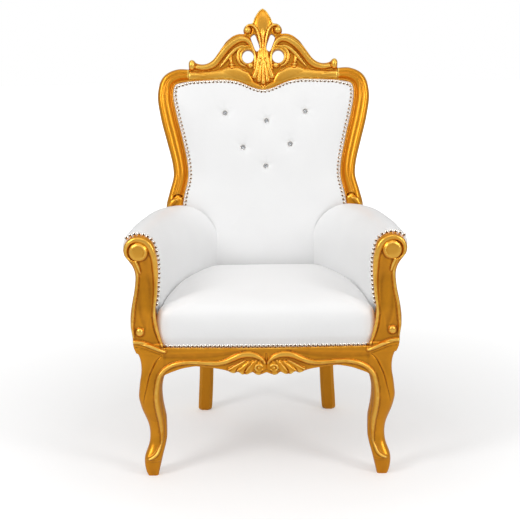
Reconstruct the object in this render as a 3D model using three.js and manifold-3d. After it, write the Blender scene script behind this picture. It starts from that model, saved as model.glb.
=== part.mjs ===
// A carved and gilded throne with white leather upholstery.
// Millimetres, +Z up. The sitter faces -Y. The origin is on the floor, under the middle of the overall
// width and depth. Every piece is set out with y counted backwards from the front of the seat rail.
import * as THREE from "three";
import { mergeVertices } from "three/addons/utils/BufferGeometryUtils.js";
import Module from "manifold-3d";

const wasm = await Module();
wasm.setup();

// ---------------------------------------------------------------- driving dimensions

const RAIL_TOP = 388; // top of the seat rails, where the nails of the seat run
const JOINT_GAP = 0.4; // hairline left between two pieces that meet
const SOFT_GAP = 1.6; // gap between two padded pieces, or a pad and the wood beside it
const ARM_TOP = 720; // crown of the padded arms
const ARM_FRONT = 24; // where the padded arms start, round the edges of the arm posts
const SEAT_FRONT = 20; // front of the seat pad beside the legs, from where it bows with the rail
const SEAT_CROWN = 524; // height of the seat pad's middle, before it rises towards the back
const SEAT_RISE = 24; // how much higher the seat pad lies at the back than at the front
const RECLINE = THREE.MathUtils.degToRad(8.5);
const BACK_SETBACK = 550; // the back's front plane, measured at the height BACK_LEVEL
const BACK_LEVEL = 420;
const BACK_WOOD = 44; // thickness of the back stiles
const CREST_WOOD = 34; // thickness of the crest's board
const CREST_END = 246; // half the length of the crest rail, where it meets the stiles
const CREST_TIP = 949; // top of the crest, measured up the back's plane
const CREST_V = 679; // the point in the middle of the crest's lower edge
const POST_FRONT = 9; // front faces of the arm posts
const POST_WOOD = 40;
const RAIL_BOW = 13; // how far the middle of the front rail stands forward of its ends
const BUTTON_RADIUS = 8;
const FACET = 0.5; // how far a facet of a carved piece may stray from its curve

// ---------------------------------------------------------------- finishes

const gilt = new THREE.MeshStandardMaterial({ color: 0xd08a1e, roughness: 0.36, metalness: 0.55 });
const leather = new THREE.MeshStandardMaterial({ color: 0xf1f1f0, roughness: 0.45, metalness: 0 });
const crystal = new THREE.MeshStandardMaterial({ color: 0xb9bcc4, roughness: 0.08, metalness: 0.4 });

// ---------------------------------------------------------------- curves and solids

/** A smooth function through [position, value] stations, level before the first and after the last. */
function through(stations) {
  const slope = stations.map(([at, value], i) => {
    const before = stations[Math.max(i - 1, 0)];
    const after = stations[Math.min(i + 1, stations.length - 1)];
    return (after[1] - before[1]) / (after[0] - before[0]);
  });
  return (position) => {
    const last = stations.length - 1;
    const at = THREE.MathUtils.clamp(position, stations[0][0], stations[last][0]);
    let i = 0;
    while (i < last - 1 && at > stations[i + 1][0]) i++;
    const span = stations[i + 1][0] - stations[i][0];
    const t = (at - stations[i][0]) / span;
    const [a, b] = [stations[i][1], stations[i + 1][1]];
    const cubic = (2 * t ** 3 - 3 * t ** 2 + 1) * a + (3 * t ** 2 - 2 * t ** 3) * b;
    return cubic + span * ((t ** 3 - 2 * t ** 2 + t) * slope[i] + (t ** 3 - t ** 2) * slope[i + 1]);
  };
}

const steps = (from, to, count) =>
  Array.from({ length: count + 1 }, (_, i) => from + ((to - from) * i) / count);

/** Joins rings of points, each ring a cross-section, into one closed body with a fan over each end. */
function loft(rings) {
  const count = rings[0].length;
  const middle = (ring) =>
    ring.reduce((sum, p) => sum.add(p), new THREE.Vector3()).divideScalar(count);
  const points = [...rings.flat(), middle(rings[0]), middle(rings[rings.length - 1])];
  const index = [];
  for (let r = 0; r < rings.length - 1; r++) {
    for (let i = 0; i < count; i++) {
      const a = r * count + i;
      const b = r * count + ((i + 1) % count);
      index.push(a, b, b + count, a, b + count, a + count);
    }
  }
  const top = (rings.length - 1) * count;
  for (let i = 0; i < count; i++) {
    const next = (i + 1) % count;
    index.push(rings.length * count, next, i);
    index.push(rings.length * count + 1, top + i, top + next);
  }
  const made = new THREE.BufferGeometry().setFromPoints(points);
  made.setIndex(index);
  return made;
}

/** A manifold solid from a closed geometry, turned face out if its rings ran the other way. */
function solid(geometry) {
  const bare = geometry.clone();
  bare.deleteAttribute("normal");
  bare.deleteAttribute("uv");
  const merged = mergeVertices(bare, 1e-3);
  const triVerts = new Uint32Array(merged.index.array);
  const vertProperties = merged.attributes.position.array;
  const build = () => new wasm.Manifold(new wasm.Mesh({ numProp: 3, vertProperties, triVerts }));
  const made = build();
  if (made.volume() > 0) return made;
  for (let i = 0; i < triVerts.length; i += 3) {
    [triVerts[i + 1], triVerts[i + 2]] = [triVerts[i + 2], triVerts[i + 1]];
  }
  return build();
}

/** The geometry of a manifold solid. */
function geometryOf(body) {
  const mesh = body.getMesh();
  const made = new THREE.BufferGeometry();
  made.setAttribute("position", new THREE.BufferAttribute(mesh.vertProperties, 3));
  made.setIndex(new THREE.BufferAttribute(mesh.triVerts, 1));
  return made;
}

/** The same body with its small facets merged, where that moves no surface by more than FACET. */
const coarser = (body) => body.asOriginal().simplify(FACET);

const joined = (geometries) => coarser(geometries.map(solid).reduce((a, b) => a.add(b)));

const cutBy = (body, cutters) => cutters.reduce((kept, cutter) => kept.subtract(cutter), body);

/** A round bar along a smooth path of [x, height, y] points, its radius given at each of them. */
function bar(path, radii, sides = 6, stations = 2 * (path.length - 1)) {
  const curve = new THREE.CatmullRomCurve3(path.map(([x, z, y]) => new THREE.Vector3(x, y, z)));
  const radiusAt = through(radii.map((radius, i) => [i / (radii.length - 1), radius]));
  const forward = new THREE.Vector3(0, -1, 0);
  const rings = steps(0, 1, stations).map((t) => {
    const along = curve.getTangent(t);
    const across = new THREE.Vector3().crossVectors(along, forward).normalize();
    const out = new THREE.Vector3().crossVectors(across, along).normalize();
    return steps(0, 2 * Math.PI, sides).slice(0, -1).map((angle) =>
      curve.getPoint(t)
        .addScaledVector(across, radiusAt(t) * Math.cos(angle))
        .addScaledVector(out, radiusAt(t) * Math.sin(angle)));
  });
  return loft(rings);
}

/** A flat outline in x and height, thickened backwards from y = front, with softly broken edges. */
function board(outline, front, thickness, round, holes = []) {
  const shape = new THREE.Shape(outline);
  shape.holes = holes.map((hole) => new THREE.Path(hole));
  const made = new THREE.ExtrudeGeometry(shape, {
    depth: thickness - 2 * round,
    bevelThickness: round,
    bevelSize: round,
    bevelOffset: -round,
    bevelSegments: 1,
  });
  made.rotateX(Math.PI / 2);
  return made.translate(0, front + thickness - round, 0);
}

/** Points along a smooth curve through [x, up] places. */
const smooth = (places, count) =>
  new THREE.SplineCurve(places.map(([x, up]) => new THREE.Vector2(x, up))).getPoints(count);

/** Lays a geometry made upright, its front at y = 0 and heights from BACK_LEVEL, on the reclined back. */
function leanBack(geometry) {
  return geometry.rotateX(-RECLINE).translate(0, BACK_SETBACK, BACK_LEVEL);
}

/** A point on the reclined back: up its plane, and behind its front face. */
function onBack(x, up, behind) {
  return new THREE.Vector3(
    x,
    BACK_SETBACK + up * Math.sin(RECLINE) + behind * Math.cos(RECLINE),
    BACK_LEVEL + up * Math.cos(RECLINE) - behind * Math.sin(RECLINE),
  );
}

/** The ring of a rounded rectangle: exponent 2 is an ellipse, and larger ones are squarer. */
function roundedRing(count, halfWidth, halfDepth, exponent) {
  return steps(0, 2 * Math.PI, count).slice(0, -1).map((angle) => {
    const soften = (v) => Math.sign(v) * Math.abs(v) ** (2 / exponent);
    return [halfWidth * soften(Math.cos(angle)), halfDepth * soften(Math.sin(angle))];
  });
}

// ---------------------------------------------------------------- front legs

// Outer and inner sides of a cabriole leg, and its front and back, by height.
const legOuter = through([[0, 350], [12, 355], [40, 359], [66, 356], [98, 345], [125, 343], [160, 348],
  [200, 362], [240, 370], [287, 365], [333, 360], [365, 366], [RAIL_TOP, 378]]);
const legInner = through([[0, 320], [33, 312], [92, 297], [144, 290], [194, 296], [243, 302],
  [286, 299], [305, 294], [RAIL_TOP, 294]]);
const legFront = through([[0, 20], [40, 9], [66, 13], [98, 26], [125, 30], [160, 25], [200, 12],
  [240, 4], [287, 8], [333, 12], [RAIL_TOP, 8]]);
const legBack = through([[0, 50], [40, 58], [98, 72], [144, 77], [200, 72], [286, 66], [RAIL_TOP, 64]]);

/** A cabriole front leg: scrolled foot, thin ankle, full knee and a squarer block that takes the rails. */
function frontLeg(side, grow = 0) {
  const squareness = through([[0, 4], [50, 2.8], [240, 3], [320, 6], [RAIL_TOP, 6]]);
  const rings = [...steps(0, 300, 15), ...steps(322, RAIL_TOP, 3)].map((height) => {
    const [outer, inner] = [legOuter(height) + grow, legInner(height) - grow];
    const [front, back] = [legFront(height) - grow, legBack(height) + grow];
    return roundedRing(14, (outer - inner) / 2, (back - front) / 2, squareness(height)).map(
      ([x, y]) => new THREE.Vector3(side * ((outer + inner) / 2 + x), (front + back) / 2 + y, height));
  });
  const lip = bar([[side * 370, RAIL_TOP - 7, 16], [side * 335, RAIL_TOP - 8, 10],
    [side * 300, RAIL_TOP - 22, 15]], [6, 6, 4]);
  const toe = bar([[side * 314, 84, 22], [side * 330, 64, 10], [side * 352, 50, 15]], [3, 6, 3]);
  return grow ? solid(loft(rings)) : joined([loft(rings), lip, toe]);
}

// ---------------------------------------------------------------- arm posts

// The two sides of an arm post by height, below the middle of its scroll.
const SCROLL = { x: 356, height: 671, radius: 42 };
const postOuter = through([[RAIL_TOP, 377], [430, 383], [473, 385], [529, 377], [577, 369],
  [605, 369], [630, 378], [652, 392], [SCROLL.height, 399]]);
const postInner = through([[RAIL_TOP, 295], [437, 305], [491, 313], [537, 308], [606, 303],
  [645, 304], [SCROLL.height, 309]]);

/** The outline of an arm post: two curved sides under a round scroll. */
function postShape(grow) {
  const heights = steps(RAIL_TOP + JOINT_GAP, SCROLL.height, 12);
  const inner = heights.map((height) => new THREE.Vector2(postInner(height) - grow, height));
  const outer = heights.map((height) => new THREE.Vector2(postOuter(height) + grow, height)).reverse();
  const [left, right] = [inner[inner.length - 1].x, outer[0].x];
  const crown = steps(Math.PI, 0, 12).slice(1, -1).map((angle) => new THREE.Vector2(
    (left + right) / 2 + ((right - left) / 2) * Math.cos(angle),
    SCROLL.height + (SCROLL.radius + grow) * Math.sin(angle)));
  return [...inner, ...crown, ...outer];
}

/** An arm post: the scrolled board, its raised volute, a bead up each edge and a small ball at its foot. */
function armPost(side, grow = 0) {
  const body = board(postShape(grow), POST_FRONT - grow, POST_WOOD + 2 * grow, 5);
  const pieces = [body];
  if (!grow) {
    const volute = new THREE.CylinderGeometry(22, 26, 8, 16).translate(SCROLL.x, POST_FRONT, SCROLL.height);
    const ball = new THREE.SphereGeometry(13, 8, 6).translate(357, POST_FRONT + 4, 434);
    const edge = steps(420, 640, 5).map((height) => [postInner(height) + 9, height, POST_FRONT + 2]);
    pieces.push(volute, ball, bar(edge, edge.map(() => 6)));
  }
  const made = joined(pieces);
  return side > 0 ? made : solid(geometryOf(made).scale(-1, 1, 1));
}

// ---------------------------------------------------------------- seat rails and rear legs

const railLower = through([[0, 313], [20, 309], [44, 314], [66, 310], [92, 315], [146, 326], [200, 333],
  [245, 326], [275, 315], [300, 303]]);

/** The front rail: a scalloped apron with a bead that sweeps up over a carved shell. */
function frontRail(cutters) {
  const half = 318;
  const lower = steps(-half, half, 44).map((x) => new THREE.Vector2(x, railLower(Math.abs(x))));
  const pieces = [board([...lower, new THREE.Vector2(half, RAIL_TOP), new THREE.Vector2(-half, RAIL_TOP)],
    RAIL_BOW + 2, 40, 3)];
  for (const side of [-1, 1]) {
    pieces.push(bar([[side * 288, 318, 17], [side * 245, 339, 15], [side * 185, 343, 14],
      [side * 120, 341, 14], [side * 85, 352, 13], [side * 45, 371, 13], [side * 4, 354, 14]],
    [4, 6, 6, 6, 7, 8, 4]));
    for (let flute = 0; flute < 3; flute++) {
      const spread = 20 + 29 * flute;
      pieces.push(bar([[side * (12 + 11 * flute), 352, 17], [side * spread, 332, 13],
        [side * (spread + 12), 316, 17]], [3, 8, 3]));
    }
  }
  const made = geometryOf(joined(pieces));
  const place = made.attributes.position;
  for (let i = 0; i < place.count; i++) {
    const bow = RAIL_BOW * (1 - (place.getX(i) / half) ** 2);
    place.setY(i, place.getY(i) - bow);
  }
  return cutBy(solid(made), cutters);
}

// Centre of each rear leg by height: it splays outwards and back.
const rearLegX = through([[0, 214], [150, 205], [RAIL_TOP, 199]]);
const rearLegY = through([[0, 634], [150, 606], [RAIL_TOP, 574]]);

/** A plain square rear leg with chamfered corners, its foot eased, up to the seat rails. */
function rearLeg(side, grow) {
  const half = through([[0, 19], [8, 23], [150, 23], [RAIL_TOP, 22]]);
  const rings = [0, 8, 80, 150, 220, 300, RAIL_TOP].map((height) => {
    const edge = half(height) + grow;
    const flat = edge - 10; // half the flat between two chamfers
    const corners = [[edge, flat], [flat, edge], [-flat, edge], [-edge, flat], [-edge, -flat],
      [-flat, -edge], [flat, -edge], [edge, -flat]];
    return corners.map(([x, y]) =>
      new THREE.Vector3(side * (rearLegX(height) + x), rearLegY(height) + y, height));
  });
  return solid(loft(rings));
}

const SIDE_RAIL = { frontX: 336, rearX: 228, front: 40, rear: 572, wood: 34 };

/** A side rail, running in towards the back, its lower edge gently arched. */
function sideRail(side, cutters) {
  const run = new THREE.Vector2(SIDE_RAIL.rearX - SIDE_RAIL.frontX, SIDE_RAIL.rear - SIDE_RAIL.front);
  const length = run.length();
  const arch = steps(0, length, 10).map((x) =>
    new THREE.Vector2(x, 316 + 16 * Math.sin((Math.PI * x) / length)));
  const made = board([...arch, new THREE.Vector2(length, RAIL_TOP), new THREE.Vector2(0, RAIL_TOP)],
    -SIDE_RAIL.wood / 2, SIDE_RAIL.wood, 3);
  made.rotateZ(Math.atan2(run.y, run.x)).translate(SIDE_RAIL.frontX, SIDE_RAIL.front, 0);
  const body = cutBy(solid(made), cutters);
  return side > 0 ? body : solid(geometryOf(body).scale(-1, 1, 1));
}

/** The plain rail across the back of the seat. */
function rearRail(cutters) {
  const made = new THREE.BoxGeometry(420, 32, 50).translate(0, 575, RAIL_TOP - 25);
  return cutBy(solid(made), cutters);
}

// ---------------------------------------------------------------- back frame

// The middle of a stile and its width in the back's plane, from the seat to the shoulder.
const STILE_PATH = [[199, -70], [201, -30], [222, 40], [250, 140], [282, 235], [299, 290], [292, 335],
  [277, 395], [279, 440], [296, 520], [315, 600], [324, 667], [313, 711], [283, 729],
  [CREST_END + JOINT_GAP, 731]];
const stileWidth = through([[0, 44], [0.25, 48], [0.4, 58], [0.5, 52], [0.6, 52], [0.75, 56],
  [0.9, 52], [1, 42]]);

const stileCurve = new THREE.CatmullRomCurve3(STILE_PATH.map(([x, up]) => new THREE.Vector3(x, up, 0)));

/** A place in the back's plane at share t along a stile, offset from its middle away from the sitter. */
function besideStile(t, offset) {
  const [at, along] = [stileCurve.getPointAt(t), stileCurve.getTangentAt(t)];
  if (t === 1) along.set(-1, 0, 0);
  return [at.x + along.y * offset, at.y - along.x * offset];
}

/** A rear leg and back stile in one: up from the floor, out behind the arm, in to the waist, and over. */
function rearPost(side, grow = 0) {
  const rings = steps(0, 1, 30).map((t) => {
    const [halfWidth, halfWood] = [stileWidth(t) / 2 + grow, BACK_WOOD / 2 + grow];
    return roundedRing(10, halfWidth, halfWood, 2.7).map(([across, deep]) => {
      const [x, up] = besideStile(t, across);
      return onBack(side * x, up, BACK_WOOD / 2 + deep);
    });
  });
  const body = rearLeg(side, grow).add(solid(loft(rings)));
  if (grow) return body;
  const knuckle = [onBack(side * 306, 312, -1), onBack(side * 298, 322, -3), onBack(side * 284, 322, -1)];
  return coarser(body.add(solid(bar(knuckle.map((p) => [p.x, p.z, p.y]), [5, 8, 5]))));
}

const crestLower = through([[0, CREST_V], [22, 683], [48, 693], [76, 705], [102, 711], [136, 714],
  [CREST_END, 710]]);

/** The crest's outline: a petal between two curls, sloping shoulders, upturned ends and a V below. */
function crestOutline() {
  const half = [
    ...steps(0, CREST_END, 13).map((x) => new THREE.Vector2(x, crestLower(x))),
    ...smooth([[CREST_END, 757], [246, 775], [238, 782], [228, 779]], 4),
    ...smooth([[213, 770], [180, 772], [163, 783], [133, 826], [112, 850], [84, 865], [61, 866]], 9),
    ...smooth([[64, 875], [56, 892], [35, 900]], 4),
    ...smooth([[31, 904], [21, 927], [0, CREST_TIP]], 5),
  ];
  const left = half.slice(1, -1).reverse().map((p) => new THREE.Vector2(-p.x, p.y));
  return [...half, ...left];
}

/** The openings through the crest: a round eye and a slanting slot on each side. */
function crestHoles() {
  const slot = [[41, 855], [28, 866], [20, 850], [14, 834], [13, 812], [21, 808], [29, 820], [36, 839]];
  return [-1, 1].flatMap((side) => [
    steps(0, 2 * Math.PI, 12).slice(1).map((angle) =>
      new THREE.Vector2(side * (50 + 20 * Math.cos(angle)), 791 + 22 * Math.sin(angle))),
    slot.map(([x, up]) => new THREE.Vector2(side * x, up)),
  ]);
}

/** The crest rail: the pierced board and, on its face, scroll bands, a fluted shell, curls and a petal. */
function crestRail() {
  const pieces = [board(crestOutline(), 4, CREST_WOOD, 3, crestHoles())];
  for (const side of [-1, 1]) {
    pieces.push(
      bar([[side * 236, 766, 6], [side * 205, 763, 2], [side * 172, 768, 1], [side * 130, 812, 0],
        [side * 98, 839, 0], [side * 64, 845, 1], [side * 38, 815, 3], [side * 27, 775, 4]],
      [6, 9, 9, 10, 11, 10, 7, 5]),
      bar([[side * 240, 728, 3], [side * 160, 734, 3], [side * 90, 736, 2], [side * 8, 694, 1]],
        [10, 13, 14, 8]),
      bar([[side * 128, 776, 4], [side * 96, 806, 1], [side * 66, 822, 1], [side * 38, 806, 4]],
        [4, 9, 7, 4]),
      new THREE.SphereGeometry(10, 8, 6).translate(side * 48, 2, 876),
      new THREE.SphereGeometry(9, 8, 6).translate(side * 45, 2, 760),
    );
    for (const [spread, low] of [[9, 705], [24, 724]]) {
      pieces.push(bar([[side * spread * 0.4, 806, 4], [side * spread * 0.6, 764, 1], [side * spread, low, 2]],
        [3, 6, 6]));
    }
  }
  pieces.push(bar([[0, 812, 4], [0, 850, 3], [0, 900, 1], [0, 932, 5]], [5, 7, 12, 3]));
  return solid(leanBack(geometryOf(joined(pieces))));
}

// ---------------------------------------------------------------- upholstery

// The two padded faces of the back: where along the stiles they start, how far behind the stiles' faces
// their edges and their flat backs lie, and how far their middles swell forwards.
const INSIDE_BACK = { from: 0.16, edge: 4, flat: 22, swell: 40 };
const OUTSIDE_BACK = { from: 0.046, edge: BACK_WOOD - 12, flat: 23, swell: -12 };
const BACK_MIDDLE = 390; // height of the fullest point, up the back's plane

/** The outline between the stiles and the crest, one ring anticlockwise, kept clear of the wood. */
function backRing(from, clear) {
  const sides = steps(from, 0.94, 16).map((t) => besideStile(t, -stileWidth(t) / 2 - clear));
  const top = steps(242, -242, 16).map((x) => [x, crestLower(Math.abs(x)) - clear]);
  const left = sides.map(([x, up]) => [-x, up]).reverse();
  const foot = [-150, -50, 50, 150].map((x) => [x, sides[0][1]]);
  return [...sides, ...top, ...left, ...foot];
}

/** How far the inside back's surface has swollen, at a share of the way from its edge to its middle. */
const swellAt = (share, swell) => swell * Math.sin((Math.PI / 2) * share) ** 0.7;

/** One padded face of the back: a flat side, and a side that swells from its edge to its middle. */
function backPad({ from, edge, flat, swell }, grow = 0) {
  const ring = backRing(from, SOFT_GAP - grow);
  const level = (scale, behind) =>
    ring.map(([x, up]) => onBack(x * scale, BACK_MIDDLE + (up - BACK_MIDDLE) * scale, behind));
  const swollen = [0, 0.12, 0.3, 0.55, 0.8].map((share) =>
    level(1 - share, edge - swellAt(share, swell) - Math.sign(swell) * grow));
  return solid(loft([level(1, flat), ...swollen]));
}

// The six buttons, set by hand: across, and up the back's plane.
const BUTTONS = [[-127, 604], [137, 607], [9, 577], [-69, 490], [86, 499], [5, 428]];

/** How far behind the stiles' faces the inside back's surface lies at a button. */
function buttonDepth([x, up]) {
  const away = Math.max(Math.abs(x) / 250, Math.abs(up - BACK_MIDDLE) / 310);
  return INSIDE_BACK.edge - swellAt(1 - away, INSIDE_BACK.swell);
}

/** A faceted crystal on a short shank, its axis along the back's normal. */
function button(place) {
  const profile = [[0, 6], [5, 6], [5, 0], [BUTTON_RADIUS, 0], [BUTTON_RADIUS, -2.5], [4.5, -6], [0, -6.5]];
  const turned = new THREE.LatheGeometry(profile.map(([r, y]) => new THREE.Vector2(r, y)), 8);
  return solid(leanBack(turned.translate(place[0], buttonDepth(place), place[1])));
}

/** The pocket that a button sits in. */
function buttonPocket(place) {
  const made = new THREE.CylinderGeometry(BUTTON_RADIUS + 2, BUTTON_RADIUS + 2, 40, 8);
  return solid(leanBack(made.translate(place[0], buttonDepth(place) - 12.5, place[1])));
}

// The seat's side, where the padded arms rise from it: half width by distance from the front.
const seatHalf = through([[40, 302], [120, 300], [220, 290], [330, 272], [420, 243], [480, 205],
  [512, 166], [524, 130]]);

// The inner face of a padded arm: along the seat's side, then round in front of the back.
const armInner = through([[40, 302], [120, 300], [220, 290], [330, 272], [420, 243], [470, 219],
  [500, 204], [520, 192], [562, 155]]);

/** The section of a padded arm at one distance from the front, from its outer foot up and over. */
function armSection(setback, grow) {
  const rear = THREE.MathUtils.smoothstep(setback, 200, 520);
  const inner = armInner(setback) - grow;
  const reach = THREE.MathUtils.lerp(52, 122, rear) + grow; // crown to inner face
  const drop = THREE.MathUtils.lerp(76, 128, rear);
  const crown = inner + reach;
  const outer = THREE.MathUtils.lerp(400, 342, THREE.MathUtils.smoothstep(setback, 180, 560)) + grow;
  const foot = SIDE_RAIL.frontX + SIDE_RAIL.wood / 2 - 4
    + ((SIDE_RAIL.rearX - SIDE_RAIL.frontX) * setback) / SIDE_RAIL.rear + grow;
  const top = ARM_TOP + 2 * rear + 9 * Math.sin((Math.PI * setback) / 580) + grow;
  const quarter = steps(0, Math.PI / 2, 5);
  const points = [
    [foot, RAIL_TOP + 1], [foot + (outer - foot) * 0.12, 500], [foot + (outer - foot) * 0.3, 598],
    [outer - 16, 636],
    ...quarter.map((a) => [crown + (outer - crown) * Math.cos(a), top - 46 + 46 * Math.sin(a)]),
    ...quarter.slice(1).map((a) => [crown - reach * Math.sin(a), top - drop + drop * Math.cos(a)]),
    [inner, 500], [inner, RAIL_TOP + 1],
  ];
  return points.map(([x, height]) => new THREE.Vector3(x, setback, height));
}

/** A padded arm: rolled over at the top, and thickening towards the back. */
function armPad(side, cutters, grow = 0) {
  const stations = [ARM_FRONT, 60, 110, 170, 230, 290, 340, 385, 425, 460, 490, 515, 560];
  const body = coarser(cutBy(solid(loft(stations.map((setback) => armSection(setback, grow)))), cutters));
  return side > 0 ? body : solid(geometryOf(body).scale(-1, 1, 1));
}

/** The seat pad's outline at rail height, as half widths by distance from the front. */
function seatRing() {
  const sides = [42, 110, 200, 290, 360, 420, 470, 505, 524].map((y) =>
    [seatHalf(y) - SOFT_GAP, y]);
  const front = steps(-270, 270, 8).map((x) =>
    [x, SEAT_FRONT - RAIL_BOW * (1 - (x / 318) ** 2)]);
  const left = sides.map(([x, y]) => [-x, y]).reverse();
  return [...front, [294, 30], ...sides, [60, 530], [-60, 530], ...left, [-294, 30]];
}

/** The seat pad: full at the front edge, crowned, and rounded into the arms and the back. */
function seatPad(cutters) {
  const ring = seatRing();
  const middle = 290;
  const level = (scale, height) => ring.map(([x, setback]) => {
    const y = middle + (setback - middle) * scale;
    const rise = ((height - RAIL_TOP) / (SEAT_CROWN - RAIL_TOP)) * SEAT_RISE * (y / 520);
    return new THREE.Vector3(x * scale, y, height + rise);
  });
  const levels = [level(0.985, RAIL_TOP + 1), level(1.012, 430), level(1.008, 472), level(0.985, 494),
    level(0.93, 508), level(0.75, 518), level(0.35, SEAT_CROWN)];
  return coarser(cutBy(solid(loft(levels)), cutters));
}

// ---------------------------------------------------------------- the throne

const throne = new THREE.Group();

/** Adds one named piece to the throne. */
function add(name, body, finish) {
  const mesh = new THREE.Mesh(geometryOf(body), finish);
  mesh.name = name;
  throne.add(mesh);
}

const SIDES = [["left", -1], ["right", 1]];
// Everything that the back's padding and frame keep out of their way, right through its thickness.
const throughBack = { ...INSIDE_BACK, flat: 60 };

const armNeighbours = [
  rearPost(1, SOFT_GAP), backPad(throughBack, SOFT_GAP), armPost(1, SOFT_GAP), frontLeg(1, SOFT_GAP),
];

for (const [name, side] of SIDES) {
  add(`front_leg_${name}`, frontLeg(side), gilt);
  add(`arm_post_${name}`, armPost(side), gilt);
  add(`rear_post_${name}`, rearPost(side), gilt);
  add(`side_rail_${name}`, sideRail(side, [frontLeg(1, JOINT_GAP), rearPost(1, 2 * JOINT_GAP)]), gilt);
  add(`arm_pad_${name}`, armPad(side, armNeighbours), leather);
}

add("front_rail", frontRail([frontLeg(1, JOINT_GAP), frontLeg(-1, JOINT_GAP)]), gilt);
add("rear_rail", rearRail([rearPost(1, JOINT_GAP), rearPost(-1, JOINT_GAP)]), gilt);
add("crest_rail", crestRail(), gilt);
add("inside_back", coarser(cutBy(backPad(INSIDE_BACK), BUTTONS.map(buttonPocket))), leather);
add("outside_back", coarser(backPad(OUTSIDE_BACK)), leather);
add("seat_pad", seatPad([
  backPad(throughBack, SOFT_GAP), armPad(1, [], SOFT_GAP), armPad(-1, [], SOFT_GAP),
  armPost(1, JOINT_GAP), armPost(-1, JOINT_GAP),
]), leather);
BUTTONS.forEach((place, i) => add(`button_${i + 1}`, button(place), crystal));

const reach = new THREE.Box3().setFromObject(throne);
throne.position.y = -(reach.min.y + reach.max.y) / 2;

export default throne;
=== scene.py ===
"""A carved and gilded throne in white leather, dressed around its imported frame.

Lengths are in millimetres and set out as x across, y backwards from the front plane of the seat rail and z up
from the floor. to_frame turns them into metres in the frame's own axes.
"""
import logging
import math
from dataclasses import dataclass, field
from enum import Enum
from itertools import product
from typing import Callable, Sequence

import bmesh
import bpy
import numpy as np
from mathutils import Matrix, Vector
from mathutils.bvhtree import BVHTree


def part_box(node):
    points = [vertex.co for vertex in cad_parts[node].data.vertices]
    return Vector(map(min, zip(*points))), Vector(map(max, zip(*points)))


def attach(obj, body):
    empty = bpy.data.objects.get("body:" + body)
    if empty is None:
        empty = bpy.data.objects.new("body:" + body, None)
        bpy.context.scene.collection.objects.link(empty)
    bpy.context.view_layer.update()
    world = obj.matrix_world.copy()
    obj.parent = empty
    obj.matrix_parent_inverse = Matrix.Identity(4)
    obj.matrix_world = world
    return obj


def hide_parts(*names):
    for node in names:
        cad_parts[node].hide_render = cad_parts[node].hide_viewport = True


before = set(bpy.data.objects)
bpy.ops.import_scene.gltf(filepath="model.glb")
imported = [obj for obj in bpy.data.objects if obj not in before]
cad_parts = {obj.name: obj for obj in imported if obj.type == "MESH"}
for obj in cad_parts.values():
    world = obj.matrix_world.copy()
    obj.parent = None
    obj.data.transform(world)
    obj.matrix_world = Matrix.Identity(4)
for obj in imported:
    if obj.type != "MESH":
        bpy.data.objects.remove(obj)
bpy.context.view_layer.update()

LOG = logging.getLogger("throne")

Array = np.ndarray
Field = Callable[[Array, Array, Array], Array]
Places = Sequence[Sequence[float]]
Socket = bpy.types.NodeSocket

MM = 0.001
REAR_RAIL_FRONT = 559.0  # y of the rear rail's front face, which ties the setting-out to the frame
FRONT_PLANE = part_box("rear_rail")[0][1] - REAR_RAIL_FRONT * MM
RAIL_TOP = 388.0
RECLINE = math.radians(8.5)
BACK_SETBACK = 550.0  # y of the back's front plane at the height BACK_LEVEL
BACK_LEVEL = 420.0
BACK_WOOD = 44.0


class Slot(Enum):
    """The record's material slots."""

    GILT = "gilt_wood"
    LEATHER = "white_leather"
    CRYSTAL = "crystal"
    NAILS = "nickel_nails"


# ------------------------------------------------------------------ curves


def through(stations: Places) -> Callable[[Array], Array]:
    """Make a smooth function through stations, level before the first and after the last.

    Args:
        stations: pairs of position and value, in rising order of position.

    Returns:
        A function from positions to values.
    """
    at, value = np.array(stations, float).T
    after = np.minimum(np.arange(len(at)) + 1, len(at) - 1)
    before = np.maximum(np.arange(len(at)) - 1, 0)
    slope = (value[after] - value[before]) / (at[after] - at[before])

    def curve(position: Array) -> Array:
        """Read the curve.

        Args:
            position: the positions.

        Returns:
            The values.
        """
        place = np.clip(np.asarray(position, float), at[0], at[-1])
        i = np.clip(np.searchsorted(at, place, side="right") - 1, 0, len(at) - 2)
        span = at[i + 1] - at[i]
        t = (place - at[i]) / span
        blend = (2 * t**3 - 3 * t**2 + 1) * value[i] + (3 * t**2 - 2 * t**3) * value[i + 1]
        return blend + span * ((t**3 - 2 * t**2 + t) * slope[i] + (t**3 - t**2) * slope[i + 1])

    return curve


def evenly(points: Array, count: int) -> Array:
    """Resample a polyline at equal steps of its length.

    Args:
        points: the polyline, one point a row.
        count: how many points to return, both ends among them.

    Returns:
        The resampled points.
    """
    steps = np.linalg.norm(np.diff(points, axis=0), axis=1)
    run = np.concatenate([[0.0], np.cumsum(steps)])
    at = np.linspace(0, run[-1], count)
    return np.stack([np.interp(at, run, column) for column in points.T], axis=1)


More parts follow.
